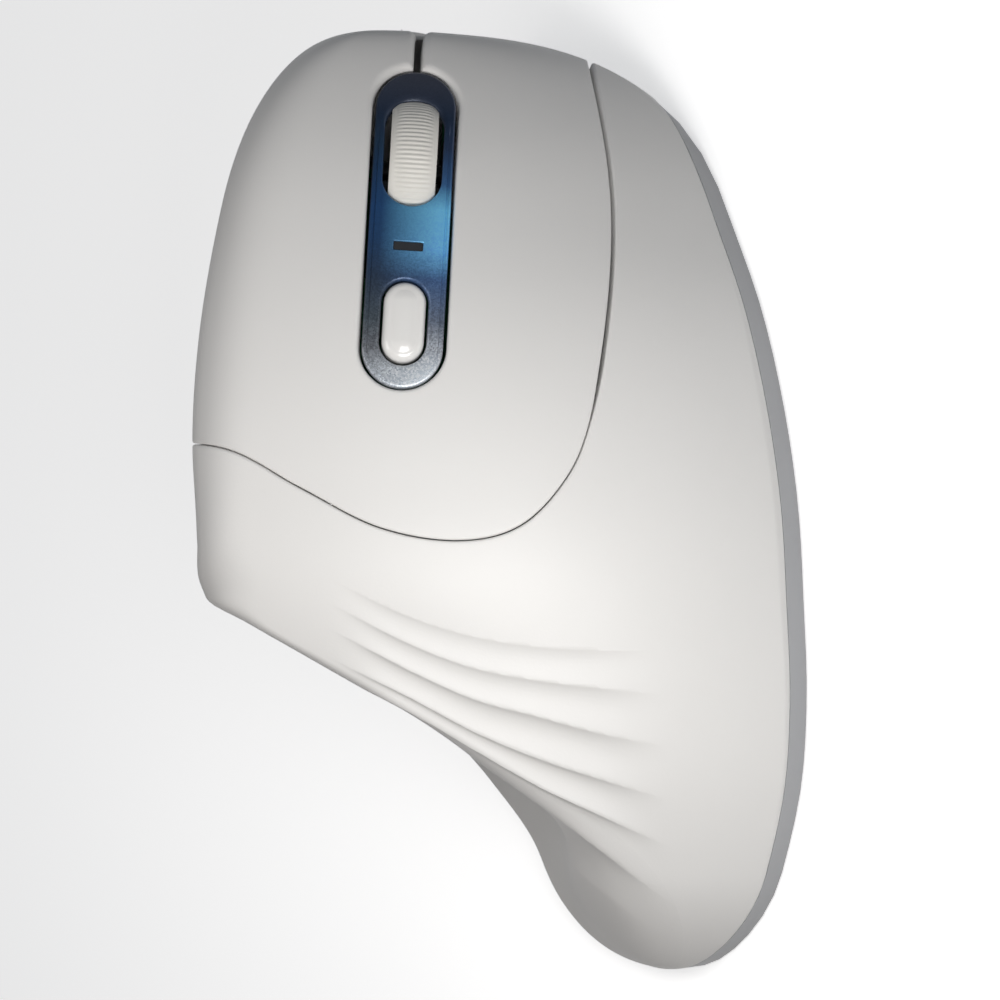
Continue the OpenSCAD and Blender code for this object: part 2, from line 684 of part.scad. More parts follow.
module wheel_carrier() {
  color(dark) on_strip() difference() {
    union() {
      for (x = [[-cheek_in - cheek_t, -cheek_in], [cheek_in, cheek_in + cheek_t]]) {
        box(x, [-3.6, wheel_y + 3.5], [cheek_low, cheek_low + 2]);
        box(x, [wheel_y - 3.5, wheel_y + 3.5], [cheek_low, axle_z + 3]);
      }
      box([-cheek_in - cheek_t, cheek_in + cheek_t], [-3.6, -2.2], [cheek_low, cheek_low + 2]);
      box([wheel_switch_x - 1.2, -cheek_in], [wheel_y - 1.2, wheel_y + 1.8], [finger_z, finger_z + 1.5]);
    }
    axle_bore();
  }
}
finger_z = -board_depth + push_switch_h + press_gap + wheel_travel;
switch_gap = 0.5;
wheel_switch_x = -cheek_in - cheek_t - switch_gap - push_w / 2;
encoder_half = 4.5;
encoder_top = 2.5;
module wheel_encoder() {
  color([0.2, 0.4, 0.6]) on_strip() difference() {
    box([cheek_in + cheek_t, cheek_in + cheek_t + encoder_t], grown([wheel_y, wheel_y], encoder_half),
      [cheek_low, axle_z + encoder_top]);
    axle_bore();
  }
}
module wheel_switch() {
  color(dark) on_strip() push_switch([wheel_switch_x, wheel_y + 0.3], -board_depth);
}

// The board of the keys has a slot for the wheel that is open to the front.
module board_flat() {
  difference() {
    polygon([[-11.5, -21], [17, -21], [17, 16], [3, 20], [-4.5, 13], [-9.5, 13], [-11.5, 7]]);
    translate([-slot_w / 2, -2.6]) square([slot_w, 40]);
    for (p = plate_hole_at) translate(p) circle(d = screw_d + 2 * screw_gap);
  }
}
module button_board() {
  color(board_green) on_strip() translate([0, 0, plate_z]) linear_extrude(board_t) board_flat();
}
module key_switch(x) {
  on_strip() difference() {
    box(grown([x, x], switch_w / 2), [plunger_y - switch_back, plunger_y - switch_back + switch_l],
      [-board_depth, -board_depth + key_switch_h]);
    translate([x, plunger_y, post_low - plunger_up - plunger_in - 1])
      cylinder(d = plunger_d + 2 * plunger_gap, h = plunger_in + 2);
  }
}
module key_plunger(x) {
  on_strip() translate([x, plunger_y, post_low - plunger_up - plunger_in])
    cylinder(d = plunger_d, h = plunger_up + plunger_in);
}
module left_switch() {
  color(dark) key_switch(left_switch_x);
}
module right_switch() {
  color(dark) key_switch(right_switch_x);
}
module left_plunger() {
  color([0.8, 0.2, 0.15]) key_plunger(left_switch_x);
}
module right_plunger() {
  color([0.8, 0.2, 0.15]) key_plunger(right_switch_x);
}

// The inner frame carries the boards and stands on the floor of the bottom case.
side_x = -5.4;
side_t = 2;
side_y = [-16, 11];
side_half = 3.2;
side_gap = 0.5;
side_low = 4.8;
side_foot = 1.5;
side_stem = 2;
module inner_frame() {
  color(grey) {
    on_strip() translate([0, 0, plate_z - plate_t]) linear_extrude(plate_t) difference() {
      polygon([[-10.2, -31], [17, -31], [17, 14], [3, 18], [-5, 9], [-8.7, 9], [-10.2, 4]]);
      translate([-slot_w / 2, -2.6]) square([slot_w, 40]);
      translate([1, -40]) square([7, 25]);
      for (p = concat(plate_hole_at, bridge_post_at)) translate(p) circle(d = screw_d + 2 * screw_gap);
    }
    frame_leg([12, -11], frame_feet[0]);
    frame_leg([-7.9, -10], frame_feet[1]);
    frame_leg([12, 8], frame_feet[2]);
    side_wall();
  }
}
// The wall of the side board stands on two feet, and a stem joins it to the plate.
module side_wall() {
  wall_x = [side_x, side_x + side_t];
  stem_y = side_y[1] + side_gap;
  foot_y = side_y[0] - side_gap;
  box(wall_x, [foot_y, stem_y + side_stem], [thumb_up - side_half - side_low, thumb_up + side_half]);
  box(wall_x, [foot_y, foot_y + side_foot], [floor_z, thumb_up]);
  intersection() {
    box(wall_x, [stem_y, stem_y + side_stem], [floor_z, body_h]);
    on_strip() translate([-60, -60, -120]) cube([120, 120, 120 + plate_z - plate_t / 2]);
  }
}
leg_w = 4;
module frame_leg(top, foot) {
  hull() {
    on_strip() translate([top[0] - leg_w / 2, top[1] - leg_w / 2, plate_z - 0.8 * plate_t])
      cube([leg_w, leg_w, 0.6 * plate_t]);
    translate([foot[0] - leg_w / 2, foot[1] - leg_w / 2, floor_z]) cube([leg_w, leg_w, 1]);
  }
}

module thumb_button(way) {
  mid = thumb_mid(way);
  tip = side_x - board_t - push_switch_h - press_gap - thumb_travel;
  intersection() {
    difference() {
      skin(-thumb_proud);
      skin(wall);
    }
    thumb_block(way, 0);
  }
  intersection() {
    skin(wall / 2);
    union() {
      box([-40, tip], [mid - 1.5, mid + 1.5], [thumb_up - 1.2, thumb_up + 1.2]);
      for (i = [-4 : 4]) {
        thumb_rib(mid + i * 1.2, tip - 4);
      }
    }
  }
}
module thumb_rib(y, tip) {
  half = 0.3;
  hull() {
    box([-40, -39], [y - half, y + half], [thumb_up - 2.2, thumb_up + 2.2]);
    box([tip, tip + 1], [y - half, y + half], [thumb_up - 2, thumb_up + 2]);
  }
}
module forward_button() {
  color(grey) union() thumb_button(1);
}
module back_button() {
  color(grey) union() thumb_button(-1);
}
module side_board() {
  color(board_green) box([side_x - board_t, side_x], side_y, [thumb_up - side_half, thumb_up + side_half]);
}
module side_switches() {
  color(dark) for (i = [-1, 1]) translate([side_x - board_t, thumb_mid(i), thumb_up])
    rotate([0, -90, 0]) push_switch([0, 0], 0);
}

module main_board() {
  color(board_green) translate([0, 0, main_board_z]) linear_extrude(board_t) difference() {
    translate([board_x[0], board_y[0]]) square([board_x[1] - board_x[0], board_y[1] - board_y[0]]);
    translate(sensor_at) square([lens_w - 1, lens_l - 1], center = true);
    translate(slider_at) square([2.4, slider_travel + 4], center = true);
    for (p = board_post_at) translate(p) circle(d = screw_d + 2 * screw_gap);
  }
}
module radio_chip() {
  color(dark) box([-6.6, -1], [4.4, 9.4], [main_board_z + board_t, main_board_z + board_t + 1]);
}
module sensor_chip() {
  color(dark) translate([sensor_at[0] - chip_w / 2, sensor_at[1] - chip_l / 2, main_board_z + board_t])
    cube([chip_w, chip_l, chip_h]);
}
module sensor_lens() {
  color([0.8, 0.85, 0.9]) translate([sensor_at[0], sensor_at[1], 0]) {
    translate([-lens_w / 2, -lens_l / 2, base_z + 0.6]) cube([lens_w, lens_l, floor_z - base_z - 0.6]);
    translate([-lens_w / 2 - 2, -lens_l / 2 - 2, floor_z]) cube([lens_w + 4, lens_l + 4, 0.8]);
    translate([0, 0, floor_z]) cylinder(d = 4, h = main_board_z - floor_z - 0.3);
  }
}
cable_x = -3;
cable_w = 3.5;
cable_t = 0.3;
module board_cable() {
  color([0.85, 0.85, 0.8]) {
    hull() {
      translate([cable_x, 9.6, main_board_z + board_t]) cube([cable_w, 0.8, cable_t]);
      translate([cable_x, 12.2, main_board_z + 9]) cube([cable_w, cable_t, cable_t]);
    }
    hull() {
      translate([cable_x, 12.2, main_board_z + 9]) cube([cable_w, cable_t, cable_t]);
      on_strip() translate([1.5, -17.6, plate_z - cable_t]) cube([cable_w, 1.5, cable_t]);
    }
  }
}

module battery_cell() {
  color([0.2, 0.25, 0.3]) translate([cell_x, cell_y, cell_z]) rotate([-90, 0, 0]) {
    cylinder(d = cell_d, h = cell_l - 1.4);
    cylinder(d = cell_d * 0.38, h = cell_l);
  }
}
module battery_spring() {
  color(steel) {
    box([cell_x - 5, cell_x + 5], [bay_y[0], bay_y[0] + 0.4], [cell_z - 5, cell_z + 5]);
    translate([cell_x, bay_y[0], cell_z]) rotate([-90, 0, 0]) cylinder(d1 = 8, d2 = 5, h = cell_y - bay_y[0]);
  }
}
module battery_contact() {
  color(steel) {
    box([cell_x - 5, cell_x + 5], [bay_y[1] - 0.4, bay_y[1]], [cell_z - 5, cell_z + 5]);
    box([cell_x - 3, cell_x + 3], [cell_y + cell_l, bay_y[1]], [cell_z - 3, cell_z + 3]);
  }
}
module battery_door() {
  color(grey) difference() {
    box(grown(bay_x, -door_gap), grown(bay_y, -door_gap), [base_z, base_z + door_t]);
    for (i = [0 : 3]) {
      groove_y = bay_y[0] + 4 + 2 * i;
      box(grown([cell_x, cell_x], 4), [groove_y, groove_y + 1], [0, base_z + 0.5]);
    }
  }
}
receiver_sink = 0.3;
plug_l = 12;
plug_h = 4.5;
module receiver_body() {
  color(dark) translate([receiver_x - receiver_w / 2, receiver_y - receiver_l / 2, base_z + receiver_sink])
    cube([receiver_w, receiver_l - plug_l, receiver_h]);
}
module receiver_plug() {
  mid_y = receiver_y + receiver_l / 2 - plug_l / 2;
  color(steel) translate([receiver_x, mid_y, base_z + receiver_sink + receiver_h / 2]) difference() {
    cube([receiver_w - 1, plug_l, plug_h], center = true);
    translate([0, 2, 0.8]) cube([receiver_w - 2, plug_l - 3, 1.9], center = true);
  }
}
module power_slider() {
  color(dark) translate([slider_at[0], slider_at[1] - slider_travel / 2, 0]) {
    translate([-slider_w / 2, -slider_l / 2, base_z + 0.2]) cube([slider_w, slider_l, wall + 0.4]);
    translate([-slider_w / 2 - 1, -slider_l / 2 - 0.5, floor_z + 0.3])
      cube([slider_w + 2, slider_l + 1, 0.8]);
    translate([-0.8, -1, floor_z + 0.3]) cube([1.6, 2, main_board_z - floor_z + 0.9]);
  }
}
module power_switch() {
  color(dark) translate([slider_at[0] - 2, slider_at[1] - 4.5, main_board_z + board_t]) cube([4, 9, 2.5]);
}

module glide_feet() {
  color(dark) for (f = foot_at) translate([f[0], f[1], 0]) rotate([0, 0, f[3]]) pill(f[2], foot_w, base_z);
}
module screw(l) {
  cylinder(d = screw_head_d, h = screw_head_t);
  cylinder(d = screw_d, h = l);
}
module case_screws() {
  color(steel) for (p = case_screw_at) translate([p[0], p[1], base_z]) screw(case_screw_l);
}
module panel_screws() {
  color(steel) on_strip() for (p = bridge_post_at)
    translate([p[0], p[1], plate_z - plate_t - screw_head_t]) screw(panel_screw_l);
}
board_screw_l = 4;
module board_screws() {
  color(steel) {
    on_strip() for (p = plate_hole_at) translate([p[0], p[1], -board_depth + screw_head_t])
      rotate([180, 0, 0]) screw(board_screw_l);
    for (p = board_post_at) translate([p[0], p[1], main_board_z + board_t + screw_head_t])
      rotate([180, 0, 0]) screw(board_screw_l);
  }
}

bottom_case();
main_shell();
button_bridge();
left_button();
right_button();
centre_trim();
indicator_lens();
indicator_led();
speed_button();
speed_switch();
wheel_tyre();
wheel_hub();
wheel_carrier();
wheel_encoder();
wheel_switch();
inner_frame();
button_board();
left_switch();
right_switch();
left_plunger();
right_plunger();
forward_button();
back_button();
side_board();
side_switches();
main_board();
radio_chip();
sensor_chip();
sensor_lens();
board_cable();
battery_cell();
battery_spring();
battery_contact();
battery_door();
receiver_body();
receiver_plug();
power_slider();
power_switch();
glide_feet();
case_screws();
panel_screws();
board_screws();
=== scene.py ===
import math
from types import SimpleNamespace

import bpy
import numpy as np
from mathutils import Matrix, Vector


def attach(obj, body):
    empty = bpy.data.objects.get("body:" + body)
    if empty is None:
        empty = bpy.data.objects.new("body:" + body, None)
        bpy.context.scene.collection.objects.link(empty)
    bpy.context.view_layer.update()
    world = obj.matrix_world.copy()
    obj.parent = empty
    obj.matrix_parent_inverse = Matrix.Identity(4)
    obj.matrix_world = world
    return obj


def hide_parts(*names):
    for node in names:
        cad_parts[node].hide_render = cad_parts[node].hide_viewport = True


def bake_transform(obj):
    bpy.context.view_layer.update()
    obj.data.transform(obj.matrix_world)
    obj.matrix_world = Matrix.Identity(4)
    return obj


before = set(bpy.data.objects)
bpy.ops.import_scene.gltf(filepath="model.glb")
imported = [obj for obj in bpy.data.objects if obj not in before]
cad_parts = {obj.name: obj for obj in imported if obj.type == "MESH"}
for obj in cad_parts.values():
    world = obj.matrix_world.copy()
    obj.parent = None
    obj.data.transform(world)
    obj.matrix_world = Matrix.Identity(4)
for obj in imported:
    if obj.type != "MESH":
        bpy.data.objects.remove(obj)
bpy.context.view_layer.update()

# Sizes are in millimetres in the frame of the part: X to the palm side, Y to the front, Z up.
MM = 0.001

# Guide curves of the skin: place along the body, then the size there.
GUIDES = {
    "rim_x": [(-62, 27), (-54, 30.5), (-46, 33.5), (-37, 36), (-26, 37), (-13, 36.5), (0, 35.5), (13, 33),
              (26, 29), (38, 23.5), (60, 13.5)],
    "lip_x": [(-62, -3.2), (-54, -5.3), (-46, -9), (-38, -17.3), (-30, -27), (-22, -32.5), (-12, -36),
              (0, -37), (12, -35.5), (24, -32), (36, -28), (60, -22.5)],
    "rim_up": [(-62, 1), (38, 1), (46, 0.8), (54, 0.4), (60, 0.2)],
    "crest_x": [(-62, 7), (-50, 1.5), (-38, -5), (-24, -9.5), (-10, -10), (20, -10), (60, -9.5)],
    "crest_z": [(-62, 14), (-50, 27), (-38, 41), (-24, 54), (-10, 60.5), (4, 61), (20, 59.5), (38, 56),
                (60, 49.5)],
    "palm_share": [(-62, 0.46), (-52, 0.46), (-43, 0.51), (-35, 0.62), (-27, 0.74), (-20, 0.87), (-15, 0.967),
                   (-13, 1), (-11, 1), (60, 1)],
    "palm_bulge": [(-62, 4), (-45, 5), (-30, 6), (-12, 7), (10, 6.5), (30, 6), (60, 5)],
    "ridge_w": [(-62, 13), (-50, 13), (-40, 9), (-28, 4.5), (-20, 3.5), (-15, 3.6), (-12, 8.2), (-5, 7.6),
                (6, 9), (60, 9)],
    "ridge_tilt": [(-62, 14), (-50, 18), (-40, 28), (-30, 34), (-20, 30), (-12, 16), (0, 11), (60, 10)],
    "thumb_lean": [(-62, 54), (-50, 48), (-40, 36), (-30, 22), (-22, 8), (-14, -3), (-6, -7), (20, -7),
                   (60, -4)],
    "lip_slope": [(-62, 22), (-30, 18), (-12, 12), (10, 10), (30, 12), (60, 20)],
}
BASE_Z = 0.9
PART_Z = 4.8
CREASE_Z = 5.1
RIM_IN = 0.8
LIP_IN = 1
RIM_ROUND = 0.28
EDGE_SOFT = 0.46
THUMB_UPPER = 0.5
THUMB_LOWER = 0.36
POLE = 0.01
TAIL_Y, TAIL_START, TAIL_ROUND, TAIL_X = -61.5, -48, 2.2, 15.5
NOSE_Y, NOSE_START, NOSE_ROUND, NOSE_MID = 61.5, 37, 3, (-5, 36)

# Key panel and its seam, drawn square on to a face that leans half way over.
SEAM_KNOTS = [(-64, 8), (-50, 7), (-40, 2), (-30, -3), (-20, -4.7), (-12, -2.8), (-6, 3.5), (-3, 11),
              (-1, 22), (0, 34), (-0.5, 45), (-3, 60), (-5, 72)]
SEAM_CORNERS = [(-70, 72), (-70, 8)]
SEAM_GAP = 0.5
SEAM_GAP_REAR = 0.14
SEAM_RAMP = (9, 18)
FRONT_GAP = 1.3
PANEL_LOW = 12
PANEL_TIP = math.radians(58.5)
PANEL_WALL = 2.2
SHELL_WALL = 2.0
SEAM_EDGE = 0.35
SLIT_W = 1

# Centre strip, wheel and speed button, in the frame of the strip.
STRIP_ENDS = [(14.4, 0.675), (35, 0.6725), (56, 0.6645)]
STRIP_L, STRIP_W, STRIP_T, STRIP_SINK, STRIP_GAP = 42.6, 10.3, 1.2, 0.3, 0.45
WHEEL_D, WHEEL_W, WHEEL_PROUD, WHEEL_Y = 19.5, 6, 2.4, 9.7
SLOT_L, SLOT_W = 14.6, 7.6
SPEED_L, SPEED_W, SPEED_GAP, SPEED_PROUD, SPEED_Y = 10.4, 5.4, 0.3, 0.9, 13
LAMP_L, LAMP_W, LAMP_Y = 3.8, 1.2, 3

# Thumb buttons, in the side view.
THUMB_L, THUMB_H, THUMB_GAP, THUMB_PROUD, THUMB_Y, THUMB_Z = 13, 7, 0.5, 0.8, 0, 35.5

# Step lines across the rear of the palm face: place across, then along, looking square on to the face.
STEP_U = (-40, -34, -26, -18, -10, -2, 6, 14)
STEP_V = [
    (-7, -10.5, -14.3, -16.8, -18.1, -18.6, -18.7, -18.7),
    (-10.5, -13.7, -17.8, -20.8, -22.4, -23.4, -24.3, -25),
    (-14, -17, -21.2, -24.8, -27, -29.2, -30.8, -32),
    (-17.5, -20.7, -24.7, -29, -32.4, -35.1, -37.5, -39.5),
    (-19.5, -22.7, -26.7, -31.4, -36, -39.8, -43.5, -47),
    (-21, -24.2, -28.2, -33, -38.5, -44.5, -50.5, -56),
]
STEP_RISES = (0.28, 0.42, 0.54, 0.62, 0.64, 0.45)
STEP_SOFT = 0.35
STEP_FADE_IN = (-37, -27)
STEP_FADE_OUT = (-6, 8)
STEP_SIDE = (-6, 6)
STEP_RUN = 6
STEP_LEAST = 0.3
STEP_LEVELS = (0, 0.04, 0.09, 0.16, 0.25, 0.38, 0.55)


def smooth(a, b, x):
    """0 below a, 1 above b and a soft ramp between."""
    t = np.clip((x - a) / (b - a), 0, 1)
    return t * t * (3 - 2 * t)


def along(knots, y):
    """A smooth curve through the knots."""
    x, v = np.array(knots, float).T
    h = np.diff(x)
    rise = np.diff(v) / h
    slope = np.concatenate([rise[:1], (rise[:-1] * h[1:] + rise[1:] * h[:-1]) / (h[:-1] + h[1:]), rise[-1:]])
    i = np.clip(np.searchsorted(x, y) - 1, 0, len(h) - 1)
    t = (y - x[i]) / h[i]
    return (v[i] * (1 + 2 * t) * (1 - t) ** 2 + slope[i] * h[i] * t * (1 - t) ** 2
            + v[i + 1] * t * t * (3 - 2 * t) + slope[i + 1] * h[i] * t * t * (t - 1))


def length(v):
    return np.linalg.norm(v, axis=-1, keepdims=True)


def bend(a, b, c, t):
    """A curve from a to c that leaves and arrives along the lines to b."""
    return (1 - t) ** 2 * a + 2 * t * (1 - t) * b + t * t * c


def thumb_curve(g, t):
    return ((1 - t) ** 3 * g.top + 3 * (1 - t) ** 2 * t * g.pull_top + 3 * (1 - t) * t * t * g.pull_lip
            + t ** 3 * g.lip)


def palm_curve(g, t):
    return g.rim + t * g.chord + 4 * g.bulge * t * (1 - t) * g.out


def guides(y):
    """The corners and sizes of the cross-sections at the places y."""
    def at(name):
        return along(GUIDES[name], y)[:, None]

    def turned(name):
        return np.radians(at(name))

    g = SimpleNamespace()
    up = BASE_Z + (CREASE_Z - BASE_Z) * at("rim_up")
    g.rim = np.hstack([at("rim_x"), up])
    g.lip = np.hstack([at("lip_x"), up])
    g.heel = np.hstack([at("rim_x") - RIM_IN, 0 * up + BASE_Z])
    g.toe = np.hstack([at("lip_x") + LIP_IN, 0 * up + BASE_Z])
    g.chord = np.hstack([at("crest_x"), at("crest_z")]) - g.rim
    g.out = np.stack([g.chord[:, 1], -g.chord[:, 0]], 1) / length(g.chord)
    g.bulge = at("palm_bulge")
    g.knee = palm_curve(g, at("palm_share"))
    g.way = -np.hstack([np.cos(turned("ridge_tilt")), np.sin(turned("ridge_tilt"))])
    g.soft = EDGE_SOFT * at("ridge_w")
    g.top = g.knee + at("ridge_w") * g.way
    g.palm_start = RIM_ROUND / length(g.chord)
    g.palm_end = at("palm_share") - g.soft / length(g.chord)
    reach = length(g.top - g.lip)
    lean, foot = turned("thumb_lean"), turned("lip_slope")
    g.pull_top = g.top - THUMB_UPPER * reach * np.hstack([np.sin(lean), np.cos(lean)])
    g.pull_lip = g.lip + THUMB_LOWER * reach * np.hstack([np.cos(foot), np.sin(foot)])
    g.cut = g.soft / (3 * THUMB_UPPER * reach)
    g.rim_low = g.rim + (g.heel - g.rim) * RIM_ROUND / length(g.heel - g.rim)
    return g


# The stretches of a cross-section, from the heel over the top to the toe and back under the floor.
STRETCHES = [
    lambda g, t: g.heel + (g.rim_low - g.heel) * t,
    lambda g, t: bend(g.rim_low, g.rim, palm_curve(g, g.palm_start), t),
    lambda g, t: palm_curve(g, g.palm_start + (g.palm_end - g.palm_start) * t),
    lambda g, t: bend(palm_curve(g, g.palm_end), g.knee, g.knee + g.way * g.soft, t),
    lambda g, t: g.knee + g.way * g.soft + (g.top - g.knee - 2 * g.way * g.soft) * t,
    lambda g, t: bend(g.top - g.way * g.soft, g.top, thumb_curve(g, g.cut), t),
    lambda g, t: thumb_curve(g, g.cut + (1 - g.cut) * t),
    lambda g, t: g.lip + (g.toe - g.lip) * t,
    lambda g, t: g.toe + (g.heel - g.toe) * t,
]

# The stretches at which the patches start.
HEEL, PALM, TOP_EDGE = 0, 2, 5


def shrink(x, n):
    return np.maximum(0, 1 - np.maximum(0, x) ** n) ** (1 / n)


def nose_share(y):
    return shrink((y - NOSE_START) / (NOSE_Y - NOSE_START), NOSE_ROUND)


def tail_share(y):
    return shrink((TAIL_START - y) / (TAIL_START - TAIL_Y), TAIL_ROUND)


def close_up(p, y):
    """The section shrinks towards the nose point and the tail point."""
    b = tail_share(y)
    u = np.array(NOSE_MID) + (p - np.array(NOSE_MID)) * nose_share(y)[:, None]
    z = np.where((b < 1) & (u[:, 1] > CREASE_Z), CREASE_Z + (u[:, 1] - CREASE_Z) * b, u[:, 1])
    return np.stack([TAIL_X + (u[:, 0] - TAIL_X) * b, y, z], 1)


def skin(par):
    """Points of the skin; par holds the place along the body and the place round the section."""
    y, s = np.clip(par[:, 0], TAIL_Y, NOSE_Y), par[:, 1]
    g = guides(y)
    stretch = np.clip(s.astype(int), 0, len(STRETCHES) - 1)
    flat = np.empty((len(y), 2))
    for i, curve in enumerate(STRETCHES):
        m = stretch == i
        if m.any():
            part = SimpleNamespace(**{k: v[m] for k, v in vars(g).items()})
            flat[m] = curve(part, (s[m] - i)[:, None])
    return close_up(flat, y)


def palm_point(y, t):
    y = np.array([y], float)
    return close_up(palm_curve(guides(y), t), y)[0]


def unit(v):
    return v / np.maximum(length(v), 1e-12)


def skin_normal(par):
    """Outward normals of the skin."""
    e = 1e-3
    dy = skin(par + [e, 0]) - skin(par - [e, 0])
    ds = skin(par + [0, e]) - skin(np.maximum(par - [0, e], [-99, 0]))
    n = unit(np.cross(dy, ds))
    y = par[:, 0]
    n[y > NOSE_Y - POLE] = (0, 1, 0)
    n[y < TAIL_Y + POLE] = (0, -1, 0)
    return n


# The frame of the centre strip.
SIDE_STEP = 0.05
mid_y, mid_share = STRIP_ENDS[1]
strip_rear, strip_mid, strip_front = (palm_point(*end) for end in STRIP_ENDS)
strip_a = unit(strip_front - strip_rear)
strip_side = palm_point(mid_y, mid_share - SIDE_STEP) - palm_point(mid_y, mid_share + SIDE_STEP)
strip_b = unit(strip_side - strip_a * (strip_side @ strip_a))
strip_n = np.cross(strip_b, strip_a)
strip_arch = strip_mid - (strip_rear + strip_front) / 2
strip_rise = strip_arch @ strip_n
strip_half = np.linalg.norm(strip_front - strip_rear) / 2
strip_r = (strip_half ** 2 + strip_rise ** 2) / (2 * strip_rise)
strip_o = strip_mid - strip_a * (strip_arch @ strip_a)
strip_axes = np.stack([strip_b, strip_a, strip_n])


def to_strip(p):
    return (p - strip_o) @ strip_axes.T


def from_strip(q):
    return q @ strip_axes + strip_o


def strip_fall(y):
    return y * y / (2 * strip_r)


# Signed distances, which are positive on the piece that keeps the surface.
# A hole counts on its own side of the body only; elsewhere its distance is FAR.
FAR = 50
POCKET_REACH = 20
THUMB_SIDE = -5
CHUNK = 4000


def polygon_distance(p, corners):
    """Distance of the points p to a closed outline, positive inside."""
    a, b = corners, np.roll(corners, -1, axis=0)
    ab = b - a
    out = np.empty(len(p))
    for i in range(0, len(p), CHUNK):
        q = p[i:i + CHUNK, None]
        t = np.clip(((q - a) * ab).sum(-1) / (ab * ab).sum(-1), 0, 1)
        near = np.linalg.norm(q - a - t[..., None] * ab, axis=-1).min(1)
        level = (a[:, 1] > q[..., 1]) != (b[:, 1] > q[..., 1])
        steep = np.where(ab[:, 1] == 0, 1e-9, ab[:, 1])
        left = q[..., 0] < a[:, 0] + (q[..., 1] - a[:, 1]) * ab[:, 0] / steep
        out[i:i + CHUNK] = np.where((level & left).sum(1) % 2 == 1, near, -near)
    return out


def through(knots, steps):
    """Points of a smooth curve through the knots."""
    k = np.array(knots, float)
    k = np.vstack([k[:1], k, k[-1:]])
    t = (np.arange(steps) / steps)[:, None]
    runs = []
    for a, b, c, d in zip(k, k[1:], k[2:], k[3:]):
        runs.append(0.5 * (2 * b + (c - a) * t + (2 * a - 5 * b + 4 * c - d) * t ** 2
                           + (3 * b - a - 3 * c + d) * t ** 3))
    return np.vstack(runs + [k[-1:]])


SEAM = np.vstack([through(SEAM_KNOTS, 12), SEAM_CORNERS])


def face(p):
    """Places across and along, looking square on to a face that leans half way over."""
    return np.stack([(p[:, 0] - p[:, 2]) / math.sqrt(2), p[:, 1]], 1)


def panel_rise(p):
    return p[:, 0] * math.sin(PANEL_TIP) + p[:, 2] * math.cos(PANEL_TIP) - PANEL_LOW


def half_gap(p):
    """Half the seam, which is narrow behind the keys, where nothing moves, and wide beside them."""
    return (SEAM_GAP_REAR + (SEAM_GAP - SEAM_GAP_REAR) * smooth(*SEAM_RAMP, p[:, 1])) / 2


def panel_edge(p):
    return np.minimum(polygon_distance(face(p), SEAM) - half_gap(p), panel_rise(p))


def shell_edge(p):
    return np.maximum(-polygon_distance(face(p), SEAM) - half_gap(p), -panel_rise(p) - FRONT_GAP)


def pill_distance(x, y, l, w):
    """Distance outside a slot of length l along y and width w."""
    return np.hypot(x, np.maximum(np.abs(y) - (l - w) / 2, 0)) - w / 2


def pocket_edge(p):
    """Distance from the pocket of the strip and the slit in front of it."""
    q = to_strip(p)
    pocket = pill_distance(q[:, 0], q[:, 1], STRIP_L + 2 * STRIP_GAP, STRIP_W + 2 * STRIP_GAP)
    slit = np.maximum(np.abs(q[:, 0]) - SLIT_W / 2, -q[:, 1])
    edge = np.minimum(pocket, slit)
    return np.where(q[:, 2] > -POCKET_REACH, edge, FAR)


def thumb_middle(way):
    return THUMB_Y + way * (THUMB_L + THUMB_GAP) / 2


def thumb_edge(p, way):
    """Distance outside a thumb button in the side view."""
    edge = pill_distance(p[:, 2] - THUMB_Z, p[:, 1] - thumb_middle(way), THUMB_L, THUMB_H)
    return np.where(p[:, 0] < THUMB_SIDE, edge, FAR)


def step_place(p):
    """Which step line lies in front of a point, and how far it is on the way to the next."""
    u, v = face(p).T
    lines = np.array([along(list(zip(STEP_U, row)), u) for row in STEP_V])
    count = (v < lines).sum(0)
    before = np.clip(count - 1, 0, len(lines) - 1)
    here = np.take_along_axis(lines, before[None], 0)[0]
    after = np.take_along_axis(lines, np.clip(before + 1, 0, len(lines) - 1)[None], 0)[0]
    outside = (count == 0) | (count == len(lines))
    gap = np.where(outside, STEP_RUN, np.maximum(here - after, STEP_LEAST))
    place = count + np.clip((here - v) / gap, 0, 1)
    return np.where(count == 0, np.clip(1 - (v - here) / STEP_RUN, 0, 1), place), gap, u


def step_depth(p):
    """How deep the skin sinks behind each step line, before it comes back up at the next."""
    place, gap, u = step_place(p)
    part = place - np.floor(place)
    part = np.where(place >= len(STEP_V) + 1, 1, part)
    rise = np.array(STEP_RISES)[np.clip(np.floor(place).astype(int) - 1, 0, len(STEP_RISES) - 1)]
    sink = 1 - part - np.exp(-part / STEP_SOFT)
    fade = smooth(*STEP_FADE_IN, u) * (1 - smooth(*STEP_FADE_OUT, u))
    side = smooth(*STEP_SIDE, p[:, 0])
    return np.where(place < 1, 0, rise * gap * np.maximum(sink, 0) * fade * side)


def step_field(p):
    return step_place(p)[0]


# A patch is a sheet of triangles on a surface, which can be cut along the level lines of a field.
ON_LINE = 1e-5
CUT_TRIES = 3


